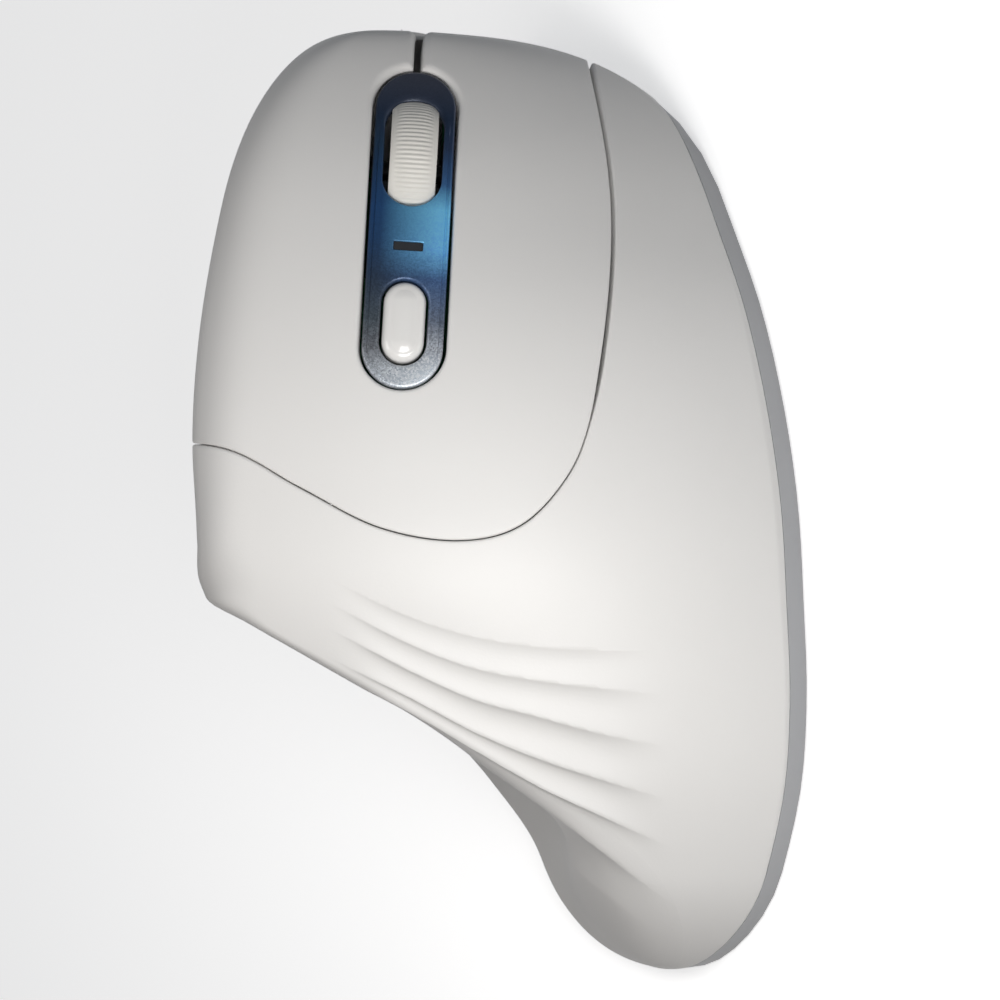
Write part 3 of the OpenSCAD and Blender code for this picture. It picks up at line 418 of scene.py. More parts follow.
class Patch:
    def __init__(self, rows, columns, place):
        self.place = place
        r, c = np.meshgrid(rows, columns, indexing="ij")
        self.par = np.stack([r.ravel(), c.ravel()], 1)
        i = np.arange(len(rows) - 1)[:, None] * len(columns) + np.arange(len(columns) - 1)
        a, b, d, e = i.ravel(), i.ravel() + 1, i.ravel() + len(columns), i.ravel() + len(columns) + 1
        self.tris = np.vstack([np.stack([a, e, b], 1), np.stack([a, d, e], 1)])
        self.at = place(self.par)

    def split(self, field, level=0.0):
        """Cuts the triangles along one level line."""
        f = field(self.at) - level
        f[np.abs(f) < ON_LINE] = 0
        sign = np.sign(f)
        corners = sign[self.tris]
        crossed = (corners.min(1) < 0) & (corners.max(1) > 0)
        tris = self.tris[crossed]
        if not len(tris):
            return self
        e = np.sort(tris[:, [[0, 1], [1, 2], [2, 0]]].reshape(-1, 2), axis=1)
        e = np.unique(e[sign[e[:, 0]] * sign[e[:, 1]] < 0], axis=0)
        p0, p1 = self.par[e[:, 0]], self.par[e[:, 1]]
        a0, a1, f0, f1 = np.zeros(len(e)), np.ones(len(e)), f[e[:, 0]], f[e[:, 1]]
        for _ in range(CUT_TRIES):
            k = a0 + (a1 - a0) * f0 / (f0 - f1)
            par = p0 + k[:, None] * (p1 - p0)
            at = self.place(par)
            value = field(at) - level
            same = np.sign(value) == np.sign(f0)
            a0, f0 = np.where(same, k, a0), np.where(same, value, f0)
            a1, f1 = np.where(same, a1, k), np.where(same, f1, value)
            f0 = np.where(f0 == f1, f0 - 1e-12, f0)
        n = len(self.par)
        key = e[:, 0] * n + e[:, 1]

        def cut(i, j):
            low, high = np.minimum(i, j), np.maximum(i, j)
            return n + np.searchsorted(key, low * n + high)

        corners = sign[tris]
        zero = (corners == 0).any(1)
        odd = np.argmax(corners == -corners.sum(1, keepdims=True), 1)
        lone = np.where(zero, np.argmax(corners == 0, 1), odd)
        turned = np.take_along_axis(tris, (lone[:, None] + np.arange(3)) % 3, 1)
        v0, v1, v2 = turned[~zero].T
        p, q = cut(v0, v1), cut(v0, v2)
        new = [np.stack(t, 1) for t in ((v0, p, q), (p, v1, v2), (p, v2, q))]
        v0, v1, v2 = turned[zero].T
        if len(v0):
            p = cut(v1, v2)
            new += [np.stack(t, 1) for t in ((v0, v1, p), (v0, p, v2))]
        self.tris = np.vstack([self.tris[~crossed]] + new)
        self.par = np.vstack([self.par, par])
        self.at = np.vstack([self.at, at])
        return self

    def keep(self, field, level=0.0):
        """Cuts along one level line and drops what lies below it."""
        self.split(field, level)
        f = field(self.at)
        self.tris = self.tris[f[self.tris].mean(1) > level]
        used, index = np.unique(self.tris, return_inverse=True)
        self.tris = index.reshape(-1, 3)
        self.par, self.at = self.par[used], self.at[used]
        return self

    def copy_of(self, field, level=0.0):
        """The part of this patch above one level line."""
        other = Patch.__new__(Patch)
        other.place, other.par, other.tris, other.at = self.place, self.par, self.tris, self.at
        return other.keep(field, level)


EDGE_LEVELS = (0.06, 0.2, 0.42, 0.7, 1.0)
WALL_LEAST = 0.2
END_WALL, END_WALL_LEAST = 1.5, 0.1
SHARP = math.radians(50)


def round_edge(patch, field, radius):
    """Cuts a patch at the edge where a field is 0 and along the lines that round it."""
    patch.keep(field)
    for level in EDGE_LEVELS:
        patch.split(field, level * radius)
    return patch


def edge_drop(f, radius):
    """How far a rounded edge falls at the distance f from it."""
    inside = np.clip(radius - f, 0, radius)
    return radius - np.sqrt(np.maximum(radius ** 2 - inside ** 2, 0))


def weld(at, tris):
    """Joins points that lie in one place and drops flat triangles."""
    _, first, index = np.unique(np.round(at, 4), axis=0, return_index=True, return_inverse=True)
    index = index.ravel()
    tris = index[tris]
    flat = (tris[:, 0] == tris[:, 1]) | (tris[:, 1] == tris[:, 2]) | (tris[:, 2] == tris[:, 0])
    return first, tris[~flat]


def shell_mesh(patch, normal, sink, thick):
    """A closed wall: the patch sunk along its normals, the inner face and the rims between them."""
    first, tris = weld(patch.at, patch.tris)
    at, n, sink = patch.at[first], normal[first], sink[first]
    thick = np.broadcast_to(thick, patch.at.shape[:1])[first]
    count = len(at)
    points = np.vstack([at - n * sink[:, None], at - n * np.maximum(thick, sink + WALL_LEAST)[:, None]])
    directed = tris[:, [[0, 1], [1, 2], [2, 0]]].reshape(-1, 2)
    key = directed[:, 0] * count + directed[:, 1]
    back = directed[:, 1] * count + directed[:, 0]
    a, b = directed[~np.isin(key, back)].T
    rims = np.vstack([np.stack([b, a, a + count], 1), np.stack([b, a + count, b + count], 1)])
    return points, np.vstack([tris, tris[:, ::-1] + count, rims])


def wall_at(par, wall):
    """A wall that gets thinner where the ends close up."""
    y = np.clip(par[:, 0], TAIL_Y, NOSE_Y)
    return wall * np.clip(END_WALL * np.minimum(nose_share(y), tail_share(y)), END_WALL_LEAST, 1)


def make_object(name, points, faces, material):
    """A mesh object from points in millimetres."""
    mesh = bpy.data.meshes.new(name)
    mesh.from_pydata((np.asarray(points) * MM).tolist(), [], [list(map(int, f)) for f in faces])
    mesh.validate()
    mesh.polygons.foreach_set("use_smooth", [True] * len(mesh.polygons))
    mesh.set_sharp_from_angle(angle=SHARP)
    mesh.materials.append(material)
    obj = bpy.data.objects.new(name, mesh)
    bpy.context.scene.collection.objects.link(obj)
    return obj


# Materials
GRAIN_DETAIL, GRAIN_HEIGHT = 3, 0.0001
DRIFT_SCALE, DRIFT_DETAIL = 45, 4
COAT_ROUGH = 0.08


def new_material(name):
    material = bpy.data.materials.new(name)
    material.use_nodes = True
    nodes = material.node_tree.nodes
    return material, nodes, material.node_tree.links, nodes["Principled BSDF"]


def map_range(nodes, links, value, start, end=(0, 1)):
    """Carries a value from one range over to another."""
    node = nodes.new("ShaderNodeMapRange")
    for name, number in zip(("From Min", "From Max", "To Min", "To Max"), (*start, *end)):
        node.inputs[name].default_value = number
    links.new(value, node.inputs["Value"])
    return node.outputs["Result"]


def add_grain(nodes, links, shader, scale, strength, rough, colour, tint):
    """Fine moulded grain, uneven gloss and a slight drift of colour."""
    coord = nodes.new("ShaderNodeTexCoord")
    grain = nodes.new("ShaderNodeTexNoise")
    grain.inputs["Scale"].default_value = scale
    grain.inputs["Detail"].default_value = GRAIN_DETAIL
    links.new(coord.outputs["Object"], grain.inputs["Vector"])
    bump = nodes.new("ShaderNodeBump")
    bump.inputs["Strength"].default_value = strength
    bump.inputs["Distance"].default_value = GRAIN_HEIGHT
    links.new(grain.outputs["Fac"], bump.inputs["Height"])
    links.new(bump.outputs["Normal"], shader.inputs["Normal"])
    drift = nodes.new("ShaderNodeTexNoise")
    drift.inputs["Scale"].default_value = DRIFT_SCALE
    drift.inputs["Detail"].default_value = DRIFT_DETAIL
    links.new(coord.outputs["Object"], drift.inputs["Vector"])
    gloss = map_range(nodes, links, drift.outputs["Fac"], (0, 1), rough)
    links.new(gloss, shader.inputs["Roughness"])
    mix = nodes.new("ShaderNodeMix")
    mix.data_type = "RGBA"
    mix.inputs["A"].default_value = (*colour, 1)
    mix.inputs["B"].default_value = (*tint, 1)
    links.new(drift.outputs["Fac"], mix.inputs["Factor"])
    links.new(mix.outputs["Result"], shader.inputs["Base Color"])


def plastic(name, colour, tint, rough=(0.42, 0.55), grain=2600, strength=0.12, coat=0.0, metallic=0.0):
    material, nodes, links, shader = new_material(name)
    add_grain(nodes, links, shader, grain, strength, rough, colour, tint)
    shader.inputs["Coat Weight"].default_value = coat
    shader.inputs["Coat Roughness"].default_value = COAT_ROUGH
    shader.inputs["Metallic"].default_value = metallic
    return material


def strip_place_along(nodes, links, coord, axis, half):
    """A value from 0 to 1 along one axis of the strip."""
    dot = nodes.new("ShaderNodeVectorMath")
    dot.operation = "DOT_PRODUCT"
    dot.inputs[1].default_value = tuple(axis)
    links.new(coord.outputs["Object"], dot.inputs[0])
    middle = float(strip_o @ axis)
    return map_range(nodes, links, dot.outputs["Value"], ((middle - half) * MM, (middle + half) * MM))


def colour_run(nodes, links, value, stops):
    """Colours that follow one another along a value."""
    ramp = nodes.new("ShaderNodeValToRGB")
    while len(ramp.color_ramp.elements) < len(stops):
        ramp.color_ramp.elements.new(0.5)
    for element, (at, colour) in zip(ramp.color_ramp.elements, stops):
        element.position = at
        element.color = (*colour, 1)
    links.new(value, ramp.inputs["Fac"])
    return ramp.outputs["Color"]


# Paint of the strip from its rear to its front, at its left edge and at its right edge; the blue band is a
# painted reflection and the lighter right edge is a painted highlight.
PAINTED_REFLECTION_LEFT = [(0.04, (0.4, 0.43, 0.47)), (0.12, (0.15, 0.16, 0.18)), (0.2, (0.07, 0.09, 0.11)),
              (0.33, (0.03, 0.05, 0.09)), (0.45, (0.022, 0.065, 0.16)), (0.55, (0.02, 0.07, 0.19)),
              (0.65, (0.02, 0.06, 0.15)), (0.75, (0.02, 0.05, 0.1)), (0.85, (0.02, 0.035, 0.07)),
              (0.94, (0.045, 0.055, 0.085)), (1.0, (0.06, 0.066, 0.09))]
PAINTED_HIGHLIGHT_RIGHT = [(0.04, (0.7, 0.75, 0.8)), (0.12, (0.42, 0.45, 0.5)), (0.2, (0.14, 0.17, 0.23)),
               (0.33, (0.07, 0.14, 0.3)), (0.42, (0.19, 0.55, 0.95)), (0.55, (0.21, 0.64, 0.98)),
               (0.63, (0.05, 0.14, 0.32)), (0.75, (0.03, 0.055, 0.12)), (0.85, (0.02, 0.035, 0.07)),
               (0.94, (0.045, 0.055, 0.085)), (1.0, (0.06, 0.066, 0.09))]
# The first number is the share of the strip's width, on each side of its middle, over which the colours ramp
# from the left edge to the lighter right edge, a painted highlight.
PAINTED_HIGHLIGHT_ACROSS, PAINT_METAL, PAINT_ROUGH = 0.36, 0.3, 0.32
FLAKE_SCALE, FLAKE_BUMP, FLAKE_HEIGHT = 5500, 0.15, 0.00005
FLAKE_FADE, FLAKE_AMOUNT = (0.15, 0.5), (0.4, 0.08)


def strip_paint_and_reflection():
    """Metallic paint that runs from slate at the front over blue to sparkling silver at the rear; the blue is
    a painted reflection, and the lighter right side is a painted highlight.
    """
    material, nodes, links, shader = new_material("strip_paint_and_reflection")
    coord = nodes.new("ShaderNodeTexCoord")
    along_it = strip_place_along(nodes, links, coord, strip_a, STRIP_L / 2)
    highlight_across = strip_place_along(nodes, links, coord, strip_b, PAINTED_HIGHLIGHT_ACROSS * STRIP_W)
    # Mixes the left and right colours across the strip, which puts a painted highlight on the right side.
    highlight_blend = nodes.new("ShaderNodeMix")
    highlight_blend.data_type = "RGBA"
    links.new(highlight_across, highlight_blend.inputs["Factor"])
    links.new(colour_run(nodes, links, along_it, PAINTED_REFLECTION_LEFT), highlight_blend.inputs["A"])
    links.new(colour_run(nodes, links, along_it, PAINTED_HIGHLIGHT_RIGHT), highlight_blend.inputs["B"])
    flake = nodes.new("ShaderNodeTexVoronoi")
    flake.inputs["Scale"].default_value = FLAKE_SCALE
    links.new(coord.outputs["Object"], flake.inputs["Vector"])
    amount = map_range(nodes, links, along_it, FLAKE_FADE, FLAKE_AMOUNT)
    bright = nodes.new("ShaderNodeSeparateColor")
    links.new(flake.outputs["Color"], bright.inputs["Color"])
    mix = nodes.new("ShaderNodeMix")
    mix.data_type = "RGBA"
    mix.blend_type = "OVERLAY"
    links.new(amount, mix.inputs["Factor"])
    links.new(highlight_blend.outputs["Result"], mix.inputs["A"])
    links.new(bright.outputs["Red"], mix.inputs["B"])
    links.new(mix.outputs["Result"], shader.inputs["Base Color"])
    bump = nodes.new("ShaderNodeBump")
    bump.inputs["Strength"].default_value = FLAKE_BUMP
    bump.inputs["Distance"].default_value = FLAKE_HEIGHT
    links.new(bright.outputs["Red"], bump.inputs["Height"])
    links.new(bump.outputs["Normal"], shader.inputs["Normal"])
    shader.inputs["Metallic"].default_value = PAINT_METAL
    shader.inputs["Roughness"].default_value = PAINT_ROUGH
    return material


white = plastic("white_plastic", (0.78, 0.77, 0.755), (0.74, 0.73, 0.715))
# The bottom case's rim is white plastic lying in shade under the shell; this copy of the white is darkened
# with painted shade.
painted_shade_white = plastic("white_with_painted_shade", (0.42, 0.425, 0.44), (0.38, 0.385, 0.4))
wheel_rubber = plastic("wheel_rubber", (0.82, 0.8, 0.75), (0.77, 0.75, 0.7), (0.35, 0.5), 3000, 0.1)
gloss_white = plastic("gloss_white", (0.85, 0.84, 0.82), (0.82, 0.81, 0.79), (0.16, 0.24), 1500, 0.03, 0.6)
dark_plastic = plastic("dark_plastic", (0.02, 0.021, 0.024), (0.03, 0.031, 0.034), (0.4, 0.6))
grey_plastic = plastic("grey_plastic", (0.3, 0.31, 0.33), (0.26, 0.27, 0.29))
board_green = plastic("circuit_board", (0.02, 0.14, 0.06), (0.03, 0.18, 0.08), (0.3, 0.45))
steel = plastic("steel", (0.6, 0.61, 0.63), (0.5, 0.51, 0.53), (0.25, 0.4), 900, 0.1, 0.0, 1.0)
red_plastic = plastic("red_plastic", (0.5, 0.05, 0.03), (0.45, 0.05, 0.03), (0.3, 0.45))
clear = plastic("clear_lens", (0.6, 0.65, 0.7), (0.55, 0.6, 0.65), (0.1, 0.2), 900, 0.02, 0.5)
# The strip's metallic paint, with its painted reflection and painted highlight.
strip_reflection_paint = strip_paint_and_reflection()

# Rows along the body and columns round it.
ROW_STEP = 0.6
END_SAMPLES = 4000
TAIL_HALF, NOSE_HALF = 20, 26


def end_rows(start, end, power, half):
    """Rows towards a rounded end, at even steps along its outline."""
    t = np.linspace(0, 1, END_SAMPLES)
    a = shrink(t, power)
    run = np.concatenate([[0], np.cumsum(np.hypot(np.diff(t) * abs(end - start), np.diff(a) * half))])
    count = int(run[-1] / ROW_STEP)
    return start + (end - start) * np.interp(np.linspace(0, run[-1], count + 1), run, t)


middle_rows = np.arange(TAIL_START, NOSE_START, ROW_STEP)
ROWS = np.concatenate([end_rows(TAIL_START, TAIL_Y, TAIL_ROUND, TAIL_HALF)[::-1], middle_rows[1:],
                       end_rows(NOSE_START, NOSE_Y, NOSE_ROUND, NOSE_HALF)])


def columns(*counts):
    """Places round the section, with so many steps in each stretch from the first one on."""
    start, steps = counts[0], counts[1:]
    runs = [start + i + np.arange(n) / n for i, n in enumerate(steps)]
    return np.concatenate(runs + [[start + len(steps)]])


# Key panel: one moulding cut into two halves, one over each key.
POCKET_EDGE = 0.5
POCKET_FRONT = 0.6
POCKET_RAMP = (13, 20)
PANEL_REAR = -12
TRIM = 0.01


def pocket_round(p):
    """The pocket's edge is rounder round the front end of the strip."""
    return POCKET_EDGE + POCKET_FRONT * smooth(*POCKET_RAMP, to_strip(p)[:, 1])


def pocket_share(p):
    return pocket_edge(p) / pocket_round(p)


def make_panel():
    patch = Patch(ROWS[ROWS > PANEL_REAR], columns(PALM, 110, 10, 3, 10, 40), skin)
    patch.keep(lambda p: panel_edge(p) + TRIM)
    round_edge(patch, panel_edge, SEAM_EDGE)
    patch.keep(pocket_share)
    for level in EDGE_LEVELS:
        patch.split(pocket_share, level)
    halves = []
    for way in (-1, 1):
        half = patch.copy_of(lambda p: way * to_strip(p)[:, 0])
        share = np.clip(pocket_share(half.at), 0, 1)
        radius = pocket_round(half.at)
        sink = np.maximum(edge_drop(panel_edge(half.at), SEAM_EDGE), radius * edge_drop(share, 1.0))
        halves.append(shell_mesh(half, skin_normal(half.par), sink, wall_at(half.par, PANEL_WALL)))
    return halves


for (points, faces), name, body, nodes in zip(
        make_panel(), ("left_panel", "right_panel"), ("left_key", "right_key"),
        (("left_button", "button_bridge"), ("right_button",))):
    panel = make_object(name, points, faces, white)
    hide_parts(*nodes)
    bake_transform(panel)


# Main shell with its seam, thumb button holes and rear steps.
THUMB_HOLE = 0.6
THUMB_HOLE_EDGE = 0.3
PART_EDGE = 0.22
PART_GAP = 0.04


def above_part(p):
    return p[:, 2] - PART_Z - PART_GAP


def make_shell():
    patch = Patch(ROWS, columns(HEEL, 4, 3, 130, 10, 3, 10, 80, 4, 60), skin)
    round_edge(patch, above_part, PART_EDGE)
    round_edge(patch, shell_edge, SEAM_EDGE)
    for way in (-1, 1):
        round_edge(patch, lambda p: thumb_edge(p, way) - THUMB_HOLE, THUMB_HOLE_EDGE)
    for line in range(1, len(STEP_V) + 1):
        for part in STEP_LEVELS:
            patch.split(step_field, line + part)
    p = patch.at
    thumbs = np.minimum(thumb_edge(p, -1), thumb_edge(p, 1)) - THUMB_HOLE
    edges = np.maximum(edge_drop(shell_edge(p), SEAM_EDGE), edge_drop(thumbs, THUMB_HOLE_EDGE))
    sink = np.maximum(edges, edge_drop(above_part(p), PART_EDGE)) + step_depth(p)
    return shell_mesh(patch, skin_normal(patch.par), sink, wall_at(patch.par, SHELL_WALL))


shell = make_object("shell", *make_shell(), white)
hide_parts("main_shell")
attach(shell, "housing")


# Thumb buttons stand a little proud of the shell.
THUMB_ROWS, THUMB_MARGIN, CAP_WALL = 40, 0.5, 1.0
THUMB_CAPS = (
    (1, "forward_cap", "forward", "forward_button"),
    (-1, "back_cap", "back", "back_button"),
)


def make_thumb(way):
    mid = thumb_middle(way)
    reach = THUMB_L / 2 + THUMB_MARGIN
    near = np.linspace(mid - reach, mid + reach, THUMB_ROWS)
    patch = Patch(near, columns(TOP_EDGE, 8, 90), skin)
    patch.keep(lambda p: -thumb_edge(p, way) + TRIM)
    round_edge(patch, lambda p: -thumb_edge(p, way), THUMB_PROUD)
    sink = edge_drop(-thumb_edge(patch.at, way), THUMB_PROUD) - THUMB_PROUD
    return shell_mesh(patch, skin_normal(patch.par), sink, CAP_WALL)


for way, name, body, node in THUMB_CAPS:
    cap = make_object(name, *make_thumb(way), grey_plastic)
    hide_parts(node)
    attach(cap, body)


# Centre strip, a bent plate with rounded edges.
def strip_place(par):
    return from_strip(np.stack([par[:, 1], par[:, 0], -STRIP_SINK - strip_fall(par[:, 0])], 1))


def strip_outline(p):
    q = to_strip(p)
    return -pill_distance(q[:, 0], q[:, 1], STRIP_L, STRIP_W)


def slot_distance(q):
    return pill_distance(q[:, 0], q[:, 1] - WHEEL_Y, SLOT_L, SLOT_W)


def speed_distance(q):
    return pill_distance(q[:, 0], q[:, 1] + SPEED_Y, SPEED_L + 2 * SPEED_GAP, SPEED_W + 2 * SPEED_GAP)


def lamp_distance(q):
    return np.maximum(np.abs(q[:, 0]) - LAMP_L / 2, np.abs(q[:, 1] + LAMP_Y) - LAMP_W / 2)


SLOT_EDGE, SLOT_FRONT, SLOT_FALL, SPEED_EDGE, LAMP_EDGE = 0.25, 0.9, 0.6, 0.45, 0.1
SLOT_RAMP = (WHEEL_Y + 3, WHEEL_Y + 7)


def slot_round(q):
    """The slot's edge is rounder in front of the wheel."""
    return SLOT_EDGE + SLOT_FRONT * smooth(*SLOT_RAMP, q[:, 1])


def strip_holes(p):
    """How far a point lies from the holes, as a share of the rounding of each hole's edge."""
    q = to_strip(p)
    slot = slot_distance(q) / slot_round(q)
    return np.minimum(np.minimum(slot, speed_distance(q) / SPEED_EDGE), lamp_distance(q) / LAMP_EDGE)


def hole_drop(p):
    """How far the rounded edges of the holes fall."""
    q = to_strip(p)
    radius = slot_round(q)
    slot = SLOT_FALL * radius * edge_drop(np.clip(slot_distance(q) / radius, 0, 1), 1.0)
    speed = edge_drop(speed_distance(q), SPEED_EDGE)
    return np.maximum(np.maximum(slot, speed), edge_drop(lamp_distance(q), LAMP_EDGE))


# A narrow band round the rear of the strip lies lower than its face.
BAND_W, BAND_SOFT, BAND_DROP = 0.62, 0.08, 0.35
BAND_LEVELS = (BAND_W, BAND_W + BAND_SOFT / 2, BAND_W + BAND_SOFT, BAND_W + 2.5 * BAND_SOFT)
BAND_END = (8, 15)
STRIP_GRID, STRIP_MARGIN, STRIP_EDGE = 0.25, 0.2, 0.3


def make_strip():
    half_l, half_w = STRIP_L / 2 + STRIP_MARGIN, STRIP_W / 2 + STRIP_MARGIN
    lengthwise = np.arange(-half_l, half_l + STRIP_MARGIN, STRIP_GRID)
    across = np.arange(-half_w, half_w + STRIP_MARGIN, STRIP_GRID)[::-1]
    patch = Patch(lengthwise, across, strip_place)
    round_edge(patch, strip_outline, STRIP_EDGE)
    for level in BAND_LEVELS:
        patch.split(strip_outline, level)
    patch.keep(strip_holes)
    for level in EDGE_LEVELS:
        patch.split(strip_holes, level)
    outline = strip_outline(patch.at)
    front = smooth(*BAND_END, to_strip(patch.at)[:, 1])
    band = BAND_DROP * (1 - smooth(BAND_W, BAND_W + BAND_SOFT, outline)) * (1 - front)
    sink = edge_drop(outline, STRIP_EDGE) + band + hole_drop(patch.at)
    normal = np.broadcast_to(strip_n, patch.at.shape)
    return shell_mesh(patch, normal, sink, STRIP_T)


# The strip wears the metallic paint with its painted reflection and painted highlight.
strip = make_object("strip", *make_strip(), strip_reflection_paint)
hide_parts("centre_trim")
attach(strip, "housing")


# Ribbed wheel.
AXLE_Z = WHEEL_PROUD - STRIP_SINK - strip_fall(WHEEL_Y) - WHEEL_D / 2
RIBS = 100
RIB_STEPS = 6
RIB_H = 0.11
RIB_FADE = (1.6, 2.5)
TREAD_ROUND, TREAD_STEPS, TREAD_T = 0.9, 25, 2.5
HUB_R = WHEEL_D / 2 - TREAD_T


def make_wheel():
    turn = np.linspace(0, 2 * math.pi, RIBS * RIB_STEPS, endpoint=False)
    across = WHEEL_W / 2 * np.sin(np.linspace(-math.pi / 2, math.pi / 2, TREAD_STEPS))
    crown = WHEEL_D / 2 - TREAD_ROUND * (np.abs(across) / (WHEEL_W / 2)) ** 3
    ridge = 1 - smooth(*RIB_FADE, np.abs(across))
    rib = 0.5 - 0.5 * np.cos(RIBS * turn)
    r = crown[None] - RIB_H * ridge[None] * rib[:, None]
    hub = np.full((len(turn), 1), HUB_R)
    r = np.hstack([hub, r, hub])
    x = np.concatenate([across[:1], across, across[-1:]])
    y = WHEEL_Y + r * np.sin(turn)[:, None]
    z = AXLE_Z + r * np.cos(turn)[:, None]
    q = np.stack([np.broadcast_to(x, r.shape), y, z], 2)
    n, m = r.shape
    i = np.arange(n)[:, None] * m
    j = np.arange(m)[None]
    a, b = i + j, (i + m) % (n * m) + j
    c, d = (i + m) % (n * m) + (j + 1) % m, i + (j + 1) % m
    return from_strip(q.reshape(-1, 3)), np.stack([a, b, c, d], 2).reshape(-1, 4)


wheel = make_object("wheel_tread", *make_wheel(), wheel_rubber)
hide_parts("wheel_tyre")
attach(wheel, "wheel")


# Speed button, a domed pill that leans with the strip.
PILL_STEPS = 20
SPEED_ROUND, SPEED_CROWN, SPEED_FOOT = 1.1, 0.35, -3.0
ROUND_RINGS, CROWN_RINGS = 9, 8
CROWN_PARTS = (0.1, 0.98)


def pill_ring(inset, z):
    """Points round the button's outline, moved inwards, at one height."""
    l, w = SPEED_L - 2 * inset, SPEED_W - 2 * inset
    turn = np.linspace(0, math.pi, PILL_STEPS)
    right = np.stack([w / 2 * np.cos(turn), (l - w) / 2 + w / 2 * np.sin(turn)], 1)
    ring = np.vstack([right, -right])
    return np.hstack([ring, np.full((len(ring), 1), z)])


def loft(rings):
    """Faces between rings of points, closed at both ends."""
    n = len(rings[0])
    faces = []
    for k in range(len(rings) - 1):
        for i in range(n):
            j = (i + 1) % n
            faces.append((k * n + i, k * n + j, (k + 1) * n + j, (k + 1) * n + i))
    faces.append(tuple(range(n))[::-1])
    faces.append(tuple((len(rings) - 1) * n + i for i in range(n)))
    return np.vstack(rings), faces


def make_speed():
    top = SPEED_PROUD - STRIP_SINK
    rings = [pill_ring(0, SPEED_FOOT)]
    for turn in np.linspace(0, math.pi / 2, ROUND_RINGS):
        z = top - SPEED_CROWN - SPEED_ROUND * (1 - math.sin(turn))
        rings.append(pill_ring(SPEED_ROUND * (1 - math.cos(turn)), z))
    for part in np.linspace(*CROWN_PARTS, CROWN_RINGS):
        inset = SPEED_ROUND + part * (SPEED_W / 2 - SPEED_ROUND)
        rings.append(pill_ring(inset, top - SPEED_CROWN * (1 - part) ** 2))
    points, faces = loft(rings)
    lean = math.asin(SPEED_Y / strip_r)
    y = points[:, 1] * math.cos(lean) - points[:, 2] * math.sin(lean) - SPEED_Y
    z = points[:, 1] * math.sin(lean) + points[:, 2] * math.cos(lean) - strip_fall(SPEED_Y)
    return from_strip(np.stack([points[:, 0], y, z], 1)), faces


speed_cap = make_object("speed_cap", *make_speed(), gloss_white)
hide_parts("speed_button")
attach(speed_cap, "speed")

# Finishes of the pieces that keep their own shape.
FINISHES = {
    dark_plastic: ["indicator_lens", "speed_switch", "wheel_hub", "wheel_carrier", "wheel_switch",
                   "left_switch", "right_switch", "side_switches", "radio_chip", "sensor_chip",
                   "battery_cell", "receiver_body", "power_slider", "power_switch", "glide_feet"],
    grey_plastic: ["inner_frame", "battery_door", "wheel_encoder", "board_cable"],
    board_green: ["button_board", "side_board", "main_board"],
    steel: ["battery_spring", "battery_contact", "receiver_plug", "case_screws", "panel_screws",
            "board_screws"],
    red_plastic: ["left_plunger", "right_plunger"],
    clear: ["sensor_lens", "indicator_led"],
    # The bottom case takes the white darkened with painted shade.
    painted_shade_white: ["bottom_case"],
}
for material, names in FINISHES.items():
    for name in names:
        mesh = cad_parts[name].data
        mesh.materials.clear()
        mesh.materials.append(material)

# Camera, square on to the palm face with the front at the top of the picture.
FACE_LEAN = math.radians(45)
VIEW = np.array([math.sin(FACE_LEAN), 0, math.cos(FACE_LEAN)])
SIDE = np.array([math.cos(FACE_LEAN), 0, -math.sin(FACE_LEAN)])
TARGET = np.array([15.3, 0.4, 36.0])
CAMERA_FAR = 500
PICTURE_HALF = 63.3
SENSOR = 36
CLIP_START = 0.01
camera_data = bpy.data.cameras.new("camera")
camera_data.sensor_width = SENSOR
camera_data.lens = SENSOR * CAMERA_FAR / (2 * PICTURE_HALF)
camera_data.clip_start = CLIP_START
camera = bpy.data.objects.new("camera", camera_data)
bpy.context.scene.collection.objects.link(camera)
turn = Matrix((SIDE, (0, 1, 0), VIEW)).transposed().to_4x4()
camera.matrix_world = Matrix.Translation(Vector((TARGET + CAMERA_FAR * VIEW) * MM)) @ turn
bpy.context.scene.camera = camera


# Light
def area_light(name, at, aim, size, power, colour):
    data = bpy.data.lights.new(name, "AREA")
    data.size = size * MM
    data.energy = power
    data.color = colour
    light = bpy.data.objects.new(name, data)
    bpy.context.scene.collection.objects.link(light)
    way = Vector((np.array(at) - np.array(aim)).tolist())
    turned = way.to_track_quat("Z", "Y").to_matrix().to_4x4()
    light.matrix_world = Matrix.Translation(Vector(at) * MM) @ turned
    light.visible_camera = False


KEY_AT = TARGET + 115 * VIEW + 10 * SIDE + np.array([0, -26, 0])
KEY_AIM = TARGET + np.array([0, -25, 0])
KEY_SIZE, KEY_POWER, KEY_COLOUR = 70, 0.128, (1.0, 0.99, 0.975)
TOP_AT = TARGET + np.array([-30, 25, 180])
TOP_AIM = TARGET + np.array([-30, 25, 0])
TOP_SIZE, TOP_POWER, TOP_COLOUR = 90, 0.085, (1.0, 0.97, 0.94)
SKY_COLOURS = [(0.1, (1.0, 0.9, 0.82)), (0.9, (0.6, 0.78, 1.0))]
SKY_POWER = 0.11


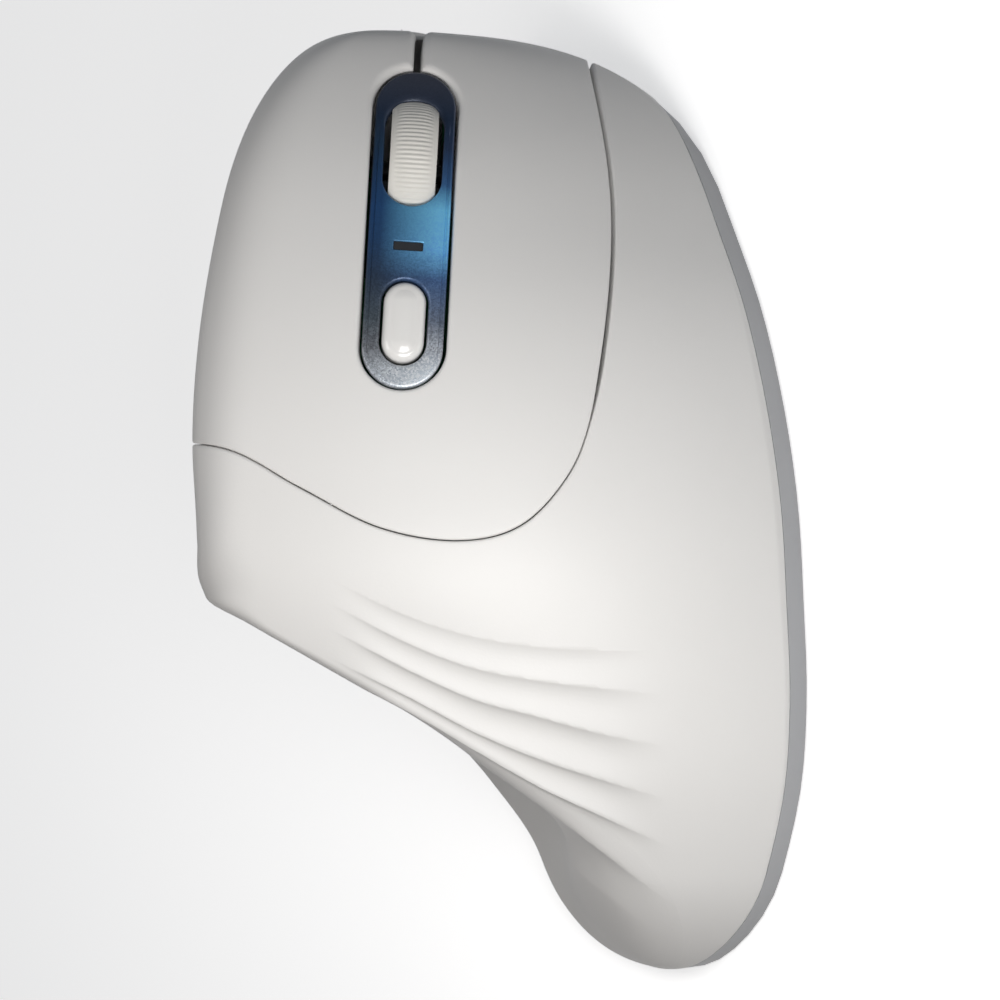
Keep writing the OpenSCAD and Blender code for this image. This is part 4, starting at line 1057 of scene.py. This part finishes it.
def make_sky():
    """Weak light from all round, warm from the rear and cool from the front."""
    world = bpy.data.worlds.new("studio")
    world.use_nodes = True
    nodes, links = world.node_tree.nodes, world.node_tree.links
    coord = nodes.new("ShaderNodeTexCoord")
    parts = nodes.new("ShaderNodeSeparateXYZ")
    links.new(coord.outputs["Generated"], parts.inputs["Vector"])
    place = map_range(nodes, links, parts.outputs["Y"], (-1, 1))
    background = nodes["Background"]
    links.new(colour_run(nodes, links, place, SKY_COLOURS), background.inputs["Color"])
    background.inputs["Strength"].default_value = SKY_POWER
    bpy.context.scene.world = world


area_light("key", KEY_AT, KEY_AIM, KEY_SIZE, KEY_POWER, KEY_COLOUR)
area_light("top", TOP_AT, TOP_AIM, TOP_SIZE, TOP_POWER, TOP_COLOUR)
make_sky()
bpy.context.scene.view_settings.view_transform = "Standard"


# Floor, which the camera sees as white while it keeps the shadow.
FLOOR_HALF, FLOOR_Z = 1500, -0.02
FLOOR_COLOUR, FLOOR_ROUGH, FLOOR_SHINE = (0.85, 0.85, 0.85, 1), 0.9, 0.6


def make_floor():
    corners = [(x * FLOOR_HALF, y * FLOOR_HALF, FLOOR_Z) for x, y in ((-1, -1), (1, -1), (1, 1), (-1, 1))]
    material, nodes, links, shader = new_material("floor")
    shader.inputs["Base Color"].default_value = FLOOR_COLOUR
    shader.inputs["Roughness"].default_value = FLOOR_ROUGH
    shader.inputs["Emission Color"].default_value = (1, 1, 1, 1)
    path = nodes.new("ShaderNodeLightPath")

    def either(a, b):
        node = nodes.new("ShaderNodeMath")
        node.operation = "MAXIMUM"
        links.new(a, node.inputs[0])
        links.new(b, node.inputs[1])
        return node.outputs["Value"]

    seen = either(path.outputs["Is Camera Ray"], path.outputs["Is Glossy Ray"])
    seen = either(seen, path.outputs["Is Transmission Ray"])
    shine = map_range(nodes, links, seen, (0, 1), (0, FLOOR_SHINE))
    links.new(shine, shader.inputs["Emission Strength"])
    floor = make_object("floor", corners, [(0, 1, 2, 3)], material)


make_floor()
